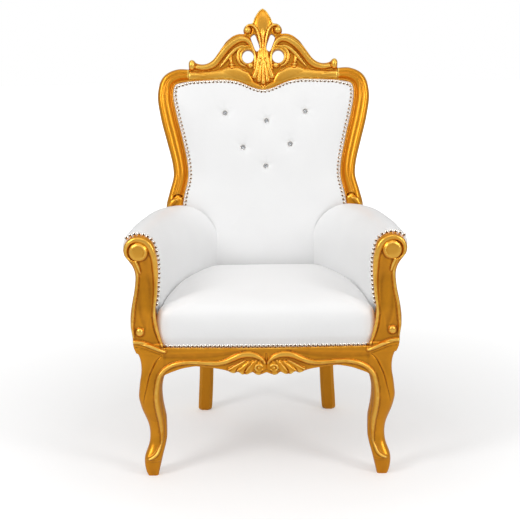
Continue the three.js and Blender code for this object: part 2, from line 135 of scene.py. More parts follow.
def spline(points: Places, count: int) -> Array:
    """Draw a centripetal Catmull-Rom curve through points, evenly resampled.

    Args:
        points: the places it passes through.
        count: how many points to return.

    Returns:
        Points along the curve, one a row.
    """
    knots = np.array(points, float)
    knots = np.vstack([2 * knots[0] - knots[1], knots, 2 * knots[-1] - knots[-2]])
    gap = np.maximum(np.linalg.norm(np.diff(knots, axis=0), axis=1) ** 0.5, 1e-6)
    t = np.linspace(0, 1, 24, endpoint=False)[:, None]
    pieces = []
    for i in range(1, len(knots) - 2):
        p0, p1, p2, p3 = knots[i - 1 : i + 3]
        g0, g1, g2 = gap[i - 1 : i + 2]
        leave = ((p1 - p0) / g0 - (p2 - p0) / (g0 + g1) + (p2 - p1) / g1) * g1
        arrive = ((p2 - p1) / g1 - (p3 - p1) / (g1 + g2) + (p3 - p2) / g2) * g1
        pieces.append(
            (2 * t**3 - 3 * t**2 + 1) * p1
            + (t**3 - 2 * t**2 + t) * leave
            + (3 * t**2 - 2 * t**3) * p2
            + (t**3 - t**2) * arrive
        )
    return evenly(np.vstack(pieces + [knots[-2:-1]]), count)


def on_back(x: Array, up: Array, behind: Array) -> Array:
    """Place points on the reclined back.

    Args:
        x: distance across.
        up: distance up the back's plane from BACK_LEVEL.
        behind: distance behind the plane of the stiles' front faces.

    Returns:
        Points of the setting-out, in the last axis.
    """
    x, up, behind = np.broadcast_arrays(x, up, behind)
    y = BACK_SETBACK + up * math.sin(RECLINE) + behind * math.cos(RECLINE)
    z = BACK_LEVEL + up * math.cos(RECLINE) - behind * math.sin(RECLINE)
    return np.stack([x, y, z], axis=-1)


BACK_FACING = on_back(0, 0, -1) - on_back(0, 0, 0)  # the direction that the back looks in


def to_frame(points: Array) -> Array:
    """Turn points of the setting-out into metres in the frame's axes."""
    return points * MM + (0.0, FRONT_PLANE, 0.0)


def from_frame(points: Array) -> Array:
    """Turn points in metres in the frame's axes back into the setting-out."""
    return (np.array(points) - (0.0, FRONT_PLANE, 0.0)) / MM


def facing(direction: Sequence[float]) -> Array:
    """Return the turn that points a piece's own z axis in a direction."""
    return np.array(Vector(direction).to_track_quat("Z", "Y").to_matrix())


# ------------------------------------------------------------------ surfaces


@dataclass
class Surface:
    """A skin of points, quads and triangles, facing out.

    The relief of a point runs from 0 in a hollow, through 0.5 on a flat, to 1 on a ridge; the paints turn it
    into painted shade and highlight.
    """

    points: Array
    quads: Array
    tris: Array = field(default_factory=lambda: np.zeros((0, 3), int))
    relief: Array | None = None

    def mirrored(self) -> "Surface":
        """Return the surface's mirror image across x."""
        return Surface(self.points * (-1, 1, 1), self.quads[:, ::-1], self.tris[:, ::-1], self.relief)

    def both_sides(self) -> tuple[tuple[str, "Surface"], ...]:
        """Return the surface for the right side and its mirror image for the left, each with its side."""
        return ("right", self), ("left", self.mirrored())

    def links(self) -> tuple[Array, Array]:
        """List every edge, once each way.

        Returns:
            The points where they start, and those where they end.
        """
        loops = [np.stack([self.quads, np.roll(self.quads, -1, 1)], -1).reshape(-1, 2)]
        loops.append(np.stack([self.tris, np.roll(self.tris, -1, 1)], -1).reshape(-1, 2))
        ends = np.vstack(loops)
        return np.concatenate([ends[:, 0], ends[:, 1]]), np.concatenate([ends[:, 1], ends[:, 0]])

    def around(self, values: Array) -> Array:
        """Average the values of each point's neighbours.

        Args:
            values: one row of numbers for each point.

        Returns:
            The means, in rows too.
        """
        start, end = self.links()
        total = np.stack([np.bincount(start, column[end], len(values)) for column in values.T], axis=1)
        return total / np.maximum(np.bincount(start, minlength=len(values)), 1)[:, None]

    def normals(self) -> Array:
        """Work out which way the skin faces.

        Returns:
            A unit normal for each point.
        """
        total = np.zeros_like(self.points)
        for loops in (self.quads, self.tris):
            if len(loops):
                corner = self.points[loops]
                across = np.cross(corner[:, 2] - corner[:, 0], corner[:, -1] - corner[:, 1])
                for k in range(loops.shape[1]):
                    np.add.at(total, loops[:, k], across)
        return total / np.maximum(np.linalg.norm(total, axis=1), 1e-9)[:, None]

    def relax(self, rounds: int) -> None:
        """Smooth away the steps of a carved grid without shrinking the form.

        Args:
            rounds: how many times to smooth out and push back.
        """
        for _ in range(rounds):
            for share in (0.55, -0.57):
                self.points = self.points + share * (self.around(self.points) - self.points)

    def read_relief(self, gain: float, standing: Array | float = 0.0) -> None:
        """Work out the relief of every point, for painted shade and highlight, from how the skin bends and
        how far it stands out.

        Args:
            gain: how strongly bending counts.
            standing: what is added for standing out of the ground, as painted highlight or shade.
        """
        bend = -np.einsum("ij,ij->i", self.around(self.points) - self.points, self.normals())[:, None]
        for _ in range(3):
            bend = 0.5 * bend + 0.5 * self.around(bend)
        self.relief = np.clip(0.5 + gain * bend[:, 0] + standing, 0, 1)


def skin(rings: Array) -> Surface:
    """Join rings of points into a closed body, with a fan over each end.

    Args:
        rings: an array of rings, points and coordinates.

    Returns:
        The surface, facing out when the rings run anticlockwise seen from the far end.
    """
    rows, count = rings.shape[:2]
    a = (np.arange(rows - 1)[:, None] * count + np.arange(count)).ravel()
    b = (np.arange(rows - 1)[:, None] * count + (np.arange(count) + 1) % count).ravel()
    points = rings.reshape(-1, 3)
    quads = np.stack([a, b, b + count, a + count], axis=1)
    hubs = np.stack([rings[0].mean(0), rings[-1].mean(0)])
    i = np.arange(count)
    j = (i + 1) % count
    first = np.stack([np.full(count, len(points)), j, i], axis=1)
    top = (rows - 1) * count
    last = np.stack([np.full(count, len(points) + 1), top + i, top + j], axis=1)
    return Surface(np.vstack([points, hubs]), quads, np.vstack([first, last]))


def turned(profile: Places, sides: int) -> Surface:
    """Turn a profile round the z axis into a body with flat sides.

    Args:
        profile: radius and height of every ring from the bottom up, and how far round it is turned, as a
            share of a side, where it is.
        sides: how many sides the body has.

    Returns:
        The surface.
    """
    rings = []
    for radius, height, *shift in profile:
        turn = (np.arange(sides) + sum(shift)) * 2 * math.pi / sides
        rings.append(np.column_stack([radius * np.cos(turn), radius * np.sin(turn), np.full(sides, height)]))
    return skin(np.array(rings))


def joined(parts: Sequence[Surface]) -> Surface:
    """Put several surfaces into one.

    Args:
        parts: the surfaces.

    Returns:
        One surface that holds them all.
    """
    starts = np.cumsum([0] + [len(p.points) for p in parts[:-1]])
    return Surface(
        np.vstack([p.points for p in parts]),
        np.vstack([p.quads + s for p, s in zip(parts, starts)]),
        np.vstack([p.tris + s for p, s in zip(parts, starts)]),
        None if parts[0].relief is None else np.concatenate([p.relief for p in parts]),
    )


def carve(form: Field, low: Sequence[float], high: Sequence[float], cell: float) -> Surface:
    """Skin the space where a form's value is negative, by the surface-net method.

    Args:
        form: gives a signed value for every place, negative inside the wood.
        low: lowest corner of the block that it is cut from.
        high: highest corner of the block.
        cell: size of the grid's cells.

    Returns:
        The skin of the carved form.
    """
    x, y, z = (np.arange(a, b + cell, cell) for a, b in zip(low, high))
    value = form(x[:, None, None], y[None, :, None], z[None, None, :])
    inside = value < 0
    size = np.array(inside.shape) - 1
    corners = product((0, 1), repeat=3)
    at_corners = [inside[i : size[0] + i, j : size[1] + j, k : size[2] + k] for i, j, k in corners]
    filled = np.sum(at_corners, axis=0, dtype=np.int8)
    active = (filled > 0) & (filled < 8)
    cells = np.argwhere(active)
    number = np.full(active.shape, -1)
    number[active] = np.arange(len(cells))
    total = np.zeros((len(cells), 3))
    hits = np.zeros((len(cells), 1))
    for axis, (i, j) in product(range(3), product((0, 1), repeat=2)):
        start = np.insert([i, j], axis, 0)
        step = np.eye(3, dtype=int)[axis]
        v0 = value[tuple((cells + start).T)]
        v1 = value[tuple((cells + start + step).T)]
        crossed = (v0 < 0) != (v1 < 0)
        share = np.where(crossed, v0 / np.where(crossed, v0 - v1, 1.0), 0.0)[:, None]
        total += np.where(crossed[:, None], start + share * step, 0.0)
        hits += crossed[:, None]
    points = np.array([x[0], y[0], z[0]]) + cell * (cells + total / hits)
    loops = []
    for axis in range(3):
        u, v = (axis + 1) % 3, (axis + 2) % 3
        ahead = np.roll(inside, -1, axis)
        changed = np.argwhere(inside != ahead)
        changed = changed[(changed[:, axis] < size[axis]) & (changed[:, u] > 0) & (changed[:, v] > 0)]
        changed = changed[(changed[:, u] < size[u]) & (changed[:, v] < size[v])]
        ring = []
        for du, dv in ((0, 0), (-1, 0), (-1, -1), (0, -1)):
            spot = changed.copy()
            spot[:, u] += du
            spot[:, v] += dv
            ring.append(number[tuple(spot.T)])
        loop = np.stack(ring, axis=1)
        outward = inside[tuple(changed.T)]
        loop[~outward] = loop[~outward][:, ::-1]
        loops.append(loop)
    return Surface(points, np.vstack(loops))


# ------------------------------------------------------------------ carving


def outline_distance(across: Array, up: Array, loops: Sequence[Array]) -> Array:
    """Measure how far places lie from an outline, negative inside it.

    Args:
        across: first coordinate of the places.
        up: second coordinate of the places.
        loops: closed outlines; one inside another is a hole.

    Returns:
        The signed distances.
    """
    across, up = np.broadcast_arrays(across, up)
    nearest = np.full(across.shape, np.inf)
    inside = np.zeros(across.shape, bool)
    for loop in loops:
        for (ax, ay), (bx, by) in zip(loop, np.roll(loop, -1, 0)):
            dx, dy = bx - ax, by - ay
            t = np.clip(((across - ax) * dx + (up - ay) * dy) / max(dx * dx + dy * dy, 1e-9), 0, 1)
            nearest = np.minimum(nearest, (across - ax - t * dx) ** 2 + (up - ay - t * dy) ** 2)
            if ay != by:
                spans = (up >= min(ay, by)) & (up < max(ay, by))
                inside ^= spans & (across < ax + (up - ay) * dx / dy)
    return np.where(inside, -1, 1) * np.sqrt(nearest)


def standing_out(points: Array, carving: Callable, cell: float, face: float) -> Array:
    """Work out what a carved face's relief gains from its height: less in the ground, as painted shade, and
    more on the backs, as a painted highlight.

    Args:
        points: places as across, behind and up.
        carving: gives the carving's height by distance across and up.
        cell: spacing at which it is sampled.
        face: points further behind than this are not on the face.

    Returns:
        What is added to the relief of each place.
    """
    across, up = np.abs(points[:, 0]), points[:, 2]
    columns = np.arange(0, across.max() + cell, cell)
    rows = np.arange(up.min(), up.max() + cell, cell)
    height = carving(columns[:, None], rows[None, :])
    i = np.clip(np.rint(across / cell).astype(int), 0, len(columns) - 1)
    j = np.clip(np.rint((up - rows[0]) / cell).astype(int), 0, len(rows) - 1)
    # Painted light by height on the face; points off the face get a little painted shade.
    return np.where(points[:, 1] < face, np.clip(0.028 * (height[i, j] - 4), -0.1, 0.13), -0.05)


def soft_max(a: Array, b: Array, radius: float) -> Array:
    """Return the larger of two values, with their meeting rounded off."""
    blend = np.clip(0.5 + 0.5 * (a - b) / radius, 0, 1)
    return b + (a - b) * blend + radius * blend * (1 - blend)


def soft_min(a: Array, b: Array, radius: float) -> Array:
    """Return the smaller of two values, with their meeting filled in."""
    return -soft_max(-a, -b, radius)


@dataclass
class Relief:
    """Carving on a face: how far it stands out from the ground at every place of a grid."""

    across: Array
    up: Array
    height: Array = field(init=False)

    def __post_init__(self) -> None:
        """Start from level ground."""
        self.across, self.up = np.broadcast_arrays(self.across, self.up)
        self.height = np.zeros(self.across.shape)

    def nearness(self, path: Places, widths: Sequence[float], steps: int = 5) -> tuple[Array, Array]:
        """Measure places against a tapering stroke.

        Args:
            path: the stroke's middle line, drawn as a smooth curve.
            widths: half its width at equal steps along the path.
            steps: how many straight steps stand for each stretch of the curve.

        Returns:
            How near every place is, from 0 on the middle line to 1 at the edge, and how wide the stroke is
            there as a share of its greatest width.
        """
        count = steps * (len(path) - 1) + 1
        line = spline(path, count)
        half = np.interp(np.linspace(0, 1, count), np.linspace(0, 1, len(widths)), widths)
        nearest = np.full(self.across.shape, np.inf)
        share = np.ones(self.across.shape)
        for (a, b), (wa, wb) in zip(zip(line[:-1], line[1:]), zip(half[:-1], half[1:])):
            d = b - a
            t = np.clip(((self.across - a[0]) * d[0] + (self.up - a[1]) * d[1]) / max(d @ d, 1e-9), 0, 1)
            width = wa + (wb - wa) * t
            near = np.hypot(self.across - a[0] - t * d[0], self.up - a[1] - t * d[1]) / width
            share = np.where(near < nearest, width / max(widths), share)
            nearest = np.minimum(nearest, near)
        return nearest, share

    def raise_to(self, near: Array, rise: Array | float, flat: float) -> None:
        """Raise a rounded back wherever a measure is under 1, and leave what already stands higher.

        Args:
            near: the measure, 0 in the middle and 1 at the edge.
            rise: height of the back above the ground.
            flat: 2 for a round back, and more for a flatter one.
        """
        back = rise * (1 - np.clip(near, 0, 1) ** flat) ** 0.5
        self.height = np.where(near < 1, np.maximum(self.height, back), self.height)

    def bead(self, path: Places, widths: Sequence[float], rise: float, flat: float = 2.0) -> None:
        """Raise a round-backed stroke.

        Args:
            path: its middle line.
            widths: half its width along the path.
            rise: height of its back above the ground.
            flat: 2 for a round back, and more for a flatter one.
        """
        near, share = self.nearness(path, widths)
        self.raise_to(near, rise * share**0.4, flat)

    def cut(self, path: Places, widths: Sequence[float], depth: float) -> None:
        """Cut a soft-edged groove.

        Args:
            path: its middle line.
            widths: half its width along the path.
            depth: how deep it goes.
        """
        near, share = self.nearness(path, widths)
        self.height = self.height - depth * share * (1 - np.clip(near, 0, 1) ** 2) ** 1.5

    def dome(self, centre: Sequence[float], radii: Sequence[float], rise: float, flat: float = 2.0) -> None:
        """Raise a boss.

        Args:
            centre: its middle.
            radii: half its width and half its height.
            rise: how far it stands out.
            flat: 2 for a round boss, and more for a flatter one.
        """
        near = np.hypot((self.across - centre[0]) / radii[0], (self.up - centre[1]) / radii[1])
        self.raise_to(near, rise, flat)

    def hollow(self, centre: Sequence[float], radii: Sequence[float], depth: float) -> None:
        """Sink a soft hollow.

        Args:
            centre: its middle.
            radii: half its width and half its height.
            depth: how deep it goes. Below 0 it is a soft swelling.
        """
        near = np.hypot((self.across - centre[0]) / radii[0], (self.up - centre[1]) / radii[1])
        self.height = self.height - depth * (1 - np.clip(near, 0, 1) ** 2) ** 2


# ------------------------------------------------------------------ finishes


class Palette:
    """One material's node tree, with short ways to add and join its nodes."""

    def __init__(self, name: str) -> None:
        """Start a material with a bare principled shader.

        Args:
            name: the material's name.
        """
        self.material = bpy.data.materials.new(name)
        self.material.use_nodes = True
        self.tree = self.material.node_tree
        self.shader = self.tree.nodes["Principled BSDF"]
        self.object = self.add("ShaderNodeTexCoord").outputs["Object"]

    def add(self, kind: str, settings: dict | None = None, **inputs: object) -> bpy.types.Node:
        """Add a node.

        Args:
            kind: the node's type.
            settings: its properties.
            inputs: values or sockets for its inputs, by name with _ for a space.

        Returns:
            The node.
        """
        node = self.tree.nodes.new(kind)
        for key, value in (settings or {}).items():
            setattr(node, key, value)
        for key, value in inputs.items():
            self.feed(node.inputs[key.replace("_", " ")], value)
        return node

    def feed(self, socket: Socket, value: object) -> None:
        """Join a socket to another, or set its value.

        Args:
            socket: an input.
            value: an output to join it to, or what it is set to.
        """
        if isinstance(value, Socket):
            self.tree.links.new(value, socket)
        else:
            socket.default_value = value

    def noise(self, scale: float, detail: float = 3.0, stretch: Sequence[float] = (1, 1, 1)) -> Socket:
        """Add noise over the object's own place.

        Args:
            scale: how many features there are in a metre.
            detail: how many finer layers lie on it.
            stretch: how much it is squeezed along each axis.

        Returns:
            Its value.
        """
        place = self.add("ShaderNodeMapping", Vector=self.object, Scale=stretch).outputs["Vector"]
        return self.add("ShaderNodeTexNoise", Vector=place, Scale=scale, Detail=detail).outputs["Fac"]

    def ramp(self, value: Socket, stops: Sequence[tuple]) -> Socket:
        """Map a value to colours.

        Args:
            value: what is mapped.
            stops: pairs of position and colour.

        Returns:
            The colour.
        """
        node = self.add("ShaderNodeValToRGB", Fac=value)
        bar = node.color_ramp
        while len(bar.elements) < len(stops):
            bar.elements.new(0.5)
        for element, (position, colour) in zip(bar.elements, stops):
            element.position = position
            element.color = (*colour, 1.0)
        return node.outputs["Color"]

    def spread(self, value: Socket, low: float, high: float) -> Socket:
        """Map a value from 0 to 1 onto a range."""
        return self.add("ShaderNodeMapRange", Value=value, To_Min=low, To_Max=high).outputs["Result"]

    def bump(self, height: Socket, strength: float, depth: float, under: Socket | None = None) -> Socket:
        """Add a bump to the shader's normal.

        Args:
            height: the height's socket.
            strength: how much of it shows.
            depth: its depth in metres.
            under: a normal that it lies on.

        Returns:
            The bumped normal.
        """
        node = self.add("ShaderNodeBump", Height=height, Strength=strength, Distance=depth)
        if under is not None:
            self.feed(node.inputs["Normal"], under)
        return node.outputs["Normal"]


@dataclass(frozen=True)
class GiltPaint:
    """Metallic gold paint over carved wood: painted shade, brown, in the hollows and a painted highlight on
    the ridges.
    """

    # Painted shade: the colour of the hollows.
    hollow: tuple = (0.2, 0.055, 0.002)
    ground: tuple = (0.76, 0.3, 0.01)
    # Painted highlight: the colour of the ridges and of what stands out.
    ridge: tuple = (1.0, 0.62, 0.11)
    metal: float = 0.8
    patchy: float = 0.16  # how far the paint's patches shift it from hollow to ridge
    roughness: tuple = (0.28, 0.38)

    def material(self) -> bpy.types.Material:
        """Mix the paint.

        Returns:
            The material.
        """
        paint = Palette("gilt_paint")
        relief = paint.add("ShaderNodeAttribute", {"attribute_name": "relief"}).outputs["Fac"]
        patches = paint.noise(16, 4)
        # Painted shading: the relief lays painted shade in the hollows and a painted highlight on the ridges,
        # and the patches shift it at random.
        painted_shading = paint.add("ShaderNodeMath", {"operation": "MULTIPLY_ADD"})
        paint.feed(painted_shading.inputs[0], patches)
        painted_shading.inputs[1].default_value = self.patchy
        paint.feed(painted_shading.inputs[2], relief)
        shifted = paint.add("ShaderNodeMath", {"operation": "SUBTRACT"})
        paint.feed(shifted.inputs[0], painted_shading.outputs[0])
        shifted.inputs[1].default_value = self.patchy / 2
        colour = paint.ramp(
            shifted.outputs[0],
            [(0.1, self.hollow), (0.45, self.ground), (0.56, self.ground), (0.8, self.ridge)],
        )
        paint.feed(paint.shader.inputs["Base Color"], colour)
        paint.shader.inputs["Metallic"].default_value = self.metal
        paint.feed(paint.shader.inputs["Roughness"], paint.spread(paint.noise(70, 5), *self.roughness))
        paint.shader.inputs["Coat Weight"].default_value = 0.12
        paint.shader.inputs["Coat Roughness"].default_value = 0.18
        brushed = paint.bump(paint.noise(420, 4, (1, 1, 0.35)), 0.12, 0.0003)
        rippled = paint.bump(paint.noise(60, 2), 0.22, 0.001, brushed)
        paint.feed(paint.shader.inputs["Normal"], rippled)
        return paint.material


@dataclass(frozen=True)
class WhiteLeather:
    """Smooth white leather with a fine pebbled grain and a soft sheen."""

    colour: tuple = (0.88, 0.88, 0.88)
    shade: tuple = (0.865, 0.865, 0.865)
    roughness: tuple = (0.38, 0.5)

    def material(self) -> bpy.types.Material:
        """Tan the leather.

        Returns:
            The material.
        """
        hide = Palette("white_leather")
        colour = hide.ramp(hide.noise(7, 4), [(0.3, self.shade), (0.6, self.colour)])
        hide.feed(hide.shader.inputs["Base Color"], colour)
        hide.feed(hide.shader.inputs["Roughness"], hide.spread(hide.noise(300, 4), *self.roughness))
        hide.shader.inputs["Specular IOR Level"].default_value = 0.45
        hide.shader.inputs["Sheen Weight"].default_value = 0.08
        hide.shader.inputs["Sheen Roughness"].default_value = 0.5
        pebbles = hide.add("ShaderNodeTexVoronoi", {"feature": "SMOOTH_F1"}, Vector=hide.object, Scale=620.0)
        grain = hide.bump(pebbles.outputs["Distance"], 0.35, 0.0003)
        creases = hide.bump(hide.noise(38, 6), 0.25, 0.0012, grain)
        hide.feed(hide.shader.inputs["Normal"], creases)
        return hide.material


@dataclass(frozen=True)
class Nickel:
    """Bright nickel plate, a little dull here and there, with painted shade where its relief is 0: a dark
    reflection painted on.
    """

    colour: tuple = (0.92, 0.88, 0.82)
    tarnish: tuple = (0.8, 0.74, 0.66)
    # Painted shade: a dark reflection painted on the tops of the nails' heads.
    painted_shading: tuple = (0.26, 0.15, 0.085)
    roughness: tuple = (0.2, 0.34)

    def material(self) -> bpy.types.Material:
        """Plate the metal.

        Returns:
            The material.
        """
        plate = Palette("nickel_plate")
        patches = plate.noise(260, 3)
        relief = plate.add("ShaderNodeAttribute", {"attribute_name": "relief"}).outputs["Fac"]
        metal = plate.ramp(patches, [(0.3, self.tarnish), (0.55, self.colour)])
        # The relief lays the painted shade on the tops of the heads.
        mixed = plate.add("ShaderNodeMix", {"data_type": "RGBA"})
        plate.feed(mixed.inputs["Factor"], relief)
        plate.feed(mixed.inputs[6], (*self.painted_shading, 1.0))
        plate.feed(mixed.inputs[7], metal)
        plate.feed(plate.shader.inputs["Base Color"], mixed.outputs[2])
        plate.shader.inputs["Metallic"].default_value = 1.0
        plate.feed(plate.shader.inputs["Roughness"], plate.spread(patches, *self.roughness))
        return plate.material


@dataclass(frozen=True)
class Crystal:
    """Clear cut crystal."""

    tint: tuple = (0.93, 0.95, 0.98, 1.0)
    ior: float = 1.62

    def material(self) -> bpy.types.Material:
        """Cut the crystal.

        Returns:
            The material.
        """
        gem = Palette("cut_crystal")
        gem.shader.inputs["Base Color"].default_value = self.tint
        gem.shader.inputs["Transmission Weight"].default_value = 1.0
        gem.shader.inputs["IOR"].default_value = self.ior
        gem.feed(gem.shader.inputs["Roughness"], gem.spread(gem.noise(500, 2), 0.0, 0.05))
        return gem.material


@dataclass(frozen=True)
class StudioFloor:
    """A plain pale floor with a painted glow that only the camera sees, stronger further out, so it looks
    white without lighting what stands on it.
    """

    colour: tuple = (0.7, 0.7, 0.7)
    near_glow: float = 0.32
    far_glow: float = 1.0

    def material(self) -> bpy.types.Material:
        """Paint the floor.

        Returns:
            The material.
        """
        paint = Palette("pale_floor")
        near = tuple(c * 0.995 for c in self.colour)
        colour = paint.ramp(paint.noise(1.5), [(0.3, near), (0.7, self.colour)])
        paint.feed(paint.shader.inputs["Base Color"], colour)
        paint.shader.inputs["Roughness"].default_value = 0.65
        paint.shader.inputs["Specular IOR Level"].default_value = 0.2
        paint.shader.inputs["Emission Color"].default_value = (1, 1, 1, 1)
        # Painted light: the glow grows with distance from the middle and shows only to the camera.
        away = paint.add("ShaderNodeVectorMath", {"operation": "LENGTH"}, Vector=paint.object)
        spread = paint.add("ShaderNodeMapRange", Value=away.outputs["Value"], From_Min=0.6, From_Max=3.6)
        paint.feed(spread.inputs["To Min"], self.near_glow)
        paint.feed(spread.inputs["To Max"], self.far_glow)
        seen = paint.add("ShaderNodeLightPath").outputs["Is Camera Ray"]
        painted_glow = paint.add("ShaderNodeMath", {"operation": "MULTIPLY"})
        paint.feed(painted_glow.inputs[0], spread.outputs["Result"])
        paint.feed(painted_glow.inputs[1], seen)
        paint.feed(paint.shader.inputs["Emission Strength"], painted_glow.outputs[0])
        return paint.material


# ------------------------------------------------------------------ putting pieces in the scene


def points_of(mesh: bpy.types.Mesh) -> Array:
    """Read where a mesh's points are.

    Args:
        mesh: the mesh.

    Returns:
        Its points, in metres.
    """
    points = np.zeros(len(mesh.vertices) * 3, np.float32)
    mesh.vertices.foreach_get("co", points)
    return points.reshape(-1, 3).astype(float)


class Shop:
    """Keeps the finishes and puts finished pieces in the scene."""

    def __init__(self) -> None:
        """Mix every finish once."""
        self.finishes = {
            Slot.GILT: GiltPaint().material(),
            Slot.LEATHER: WhiteLeather().material(),
            Slot.NAILS: Nickel().material(),
            Slot.CRYSTAL: Crystal().material(),
        }
        self.made: dict[str, bpy.types.Object] = {}

    def mesh(self, name: str, surface: Surface) -> bpy.types.Mesh:
        """Turn a surface into a mesh.

        Args:
            name: the mesh's name.
            surface: the surface, in the setting-out.

        Returns:
            The mesh, in metres.
        """
        mesh = bpy.data.meshes.new(name)
        loops = np.concatenate([surface.quads.ravel(), surface.tris.ravel()]).astype(np.int32)
        sizes = np.concatenate([np.full(len(surface.quads), 4), np.full(len(surface.tris), 3)])
        starts = (np.cumsum(sizes) - sizes).astype(np.int32)
        mesh.vertices.add(len(surface.points))
        mesh.vertices.foreach_set("co", to_frame(surface.points).astype(np.float32).ravel())
        mesh.loops.add(len(loops))
        mesh.loops.foreach_set("vertex_index", loops)
        mesh.polygons.add(len(sizes))
        mesh.polygons.foreach_set("loop_start", starts)
        mesh.update(calc_edges=True)
        mesh.validate()
        if surface.relief is not None:
            layer = mesh.attributes.new("relief", "FLOAT", "POINT")
            layer.data.foreach_set("value", surface.relief.astype(np.float32))
        return mesh

    def trim(self, mesh: bpy.types.Mesh, planes: Sequence[tuple]) -> None:
        """Saw a closed mesh off flat at planes and close the cuts.

        Args:
            mesh: the mesh, in metres.
            planes: pairs of a point of the setting-out and the direction that is cut away.
        """
        work = bmesh.new()
        work.from_mesh(mesh)
        for place, away in planes:
            spot = Vector(to_frame(np.array(place, float)))
            everything = work.verts[:] + work.edges[:] + work.faces[:]
            bmesh.ops.bisect_plane(work, geom=everything, plane_co=spot, plane_no=away, clear_outer=True)
            open_edges = [edge for edge in work.edges if edge.is_boundary]
            bmesh.ops.holes_fill(work, edges=open_edges, sides=0)
        work.to_mesh(mesh)
        work.free()

    def place(
        self,
        name: str,
        surface: Surface,
        slot: Slot,
        stands_for: Sequence[str] = (),
        crease: float = 60.0,
        cuts: Sequence[tuple] = (),
    ) -> bpy.types.Object:
        """Put a finished piece in the scene.

        Args:
            name: the piece's name.
            surface: its skin, in the setting-out.
            slot: the record's slot that it takes its finish from.
            stands_for: the frame's nodes that it replaces.
            crease: edges that bend by more than this angle stay sharp.
            cuts: planes that it is sawn off at, as trim takes them.

        Returns:
            The piece.
        """
        mesh = self.mesh(name, surface)
        if cuts:
            self.trim(mesh, cuts)
        mesh.polygons.foreach_set("use_smooth", np.ones(len(mesh.polygons), bool))
        mesh.set_sharp_from_angle(angle=math.radians(crease))
        mesh.materials.append(self.finishes[slot])
        piece = bpy.data.objects.new(name, mesh)
        bpy.context.scene.collection.objects.link(piece)
        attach(piece, "root")
        if stands_for:
            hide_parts(*stands_for)
        self.made[name] = piece
        LOG.info("%s: %d faces", name, len(mesh.polygons))
        return piece

    def tree(self, name: str) -> BVHTree:
        """Grow a tree for finding places on a piece's surface.

        Args:
            name: the piece's name.

        Returns:
            Its tree, in metres.
        """
        mesh = self.made[name].data
        loops = [tuple(face.vertices) for face in mesh.polygons]
        return BVHTree.FromPolygons(points_of(mesh).tolist(), loops)


# ------------------------------------------------------------------ the front frame


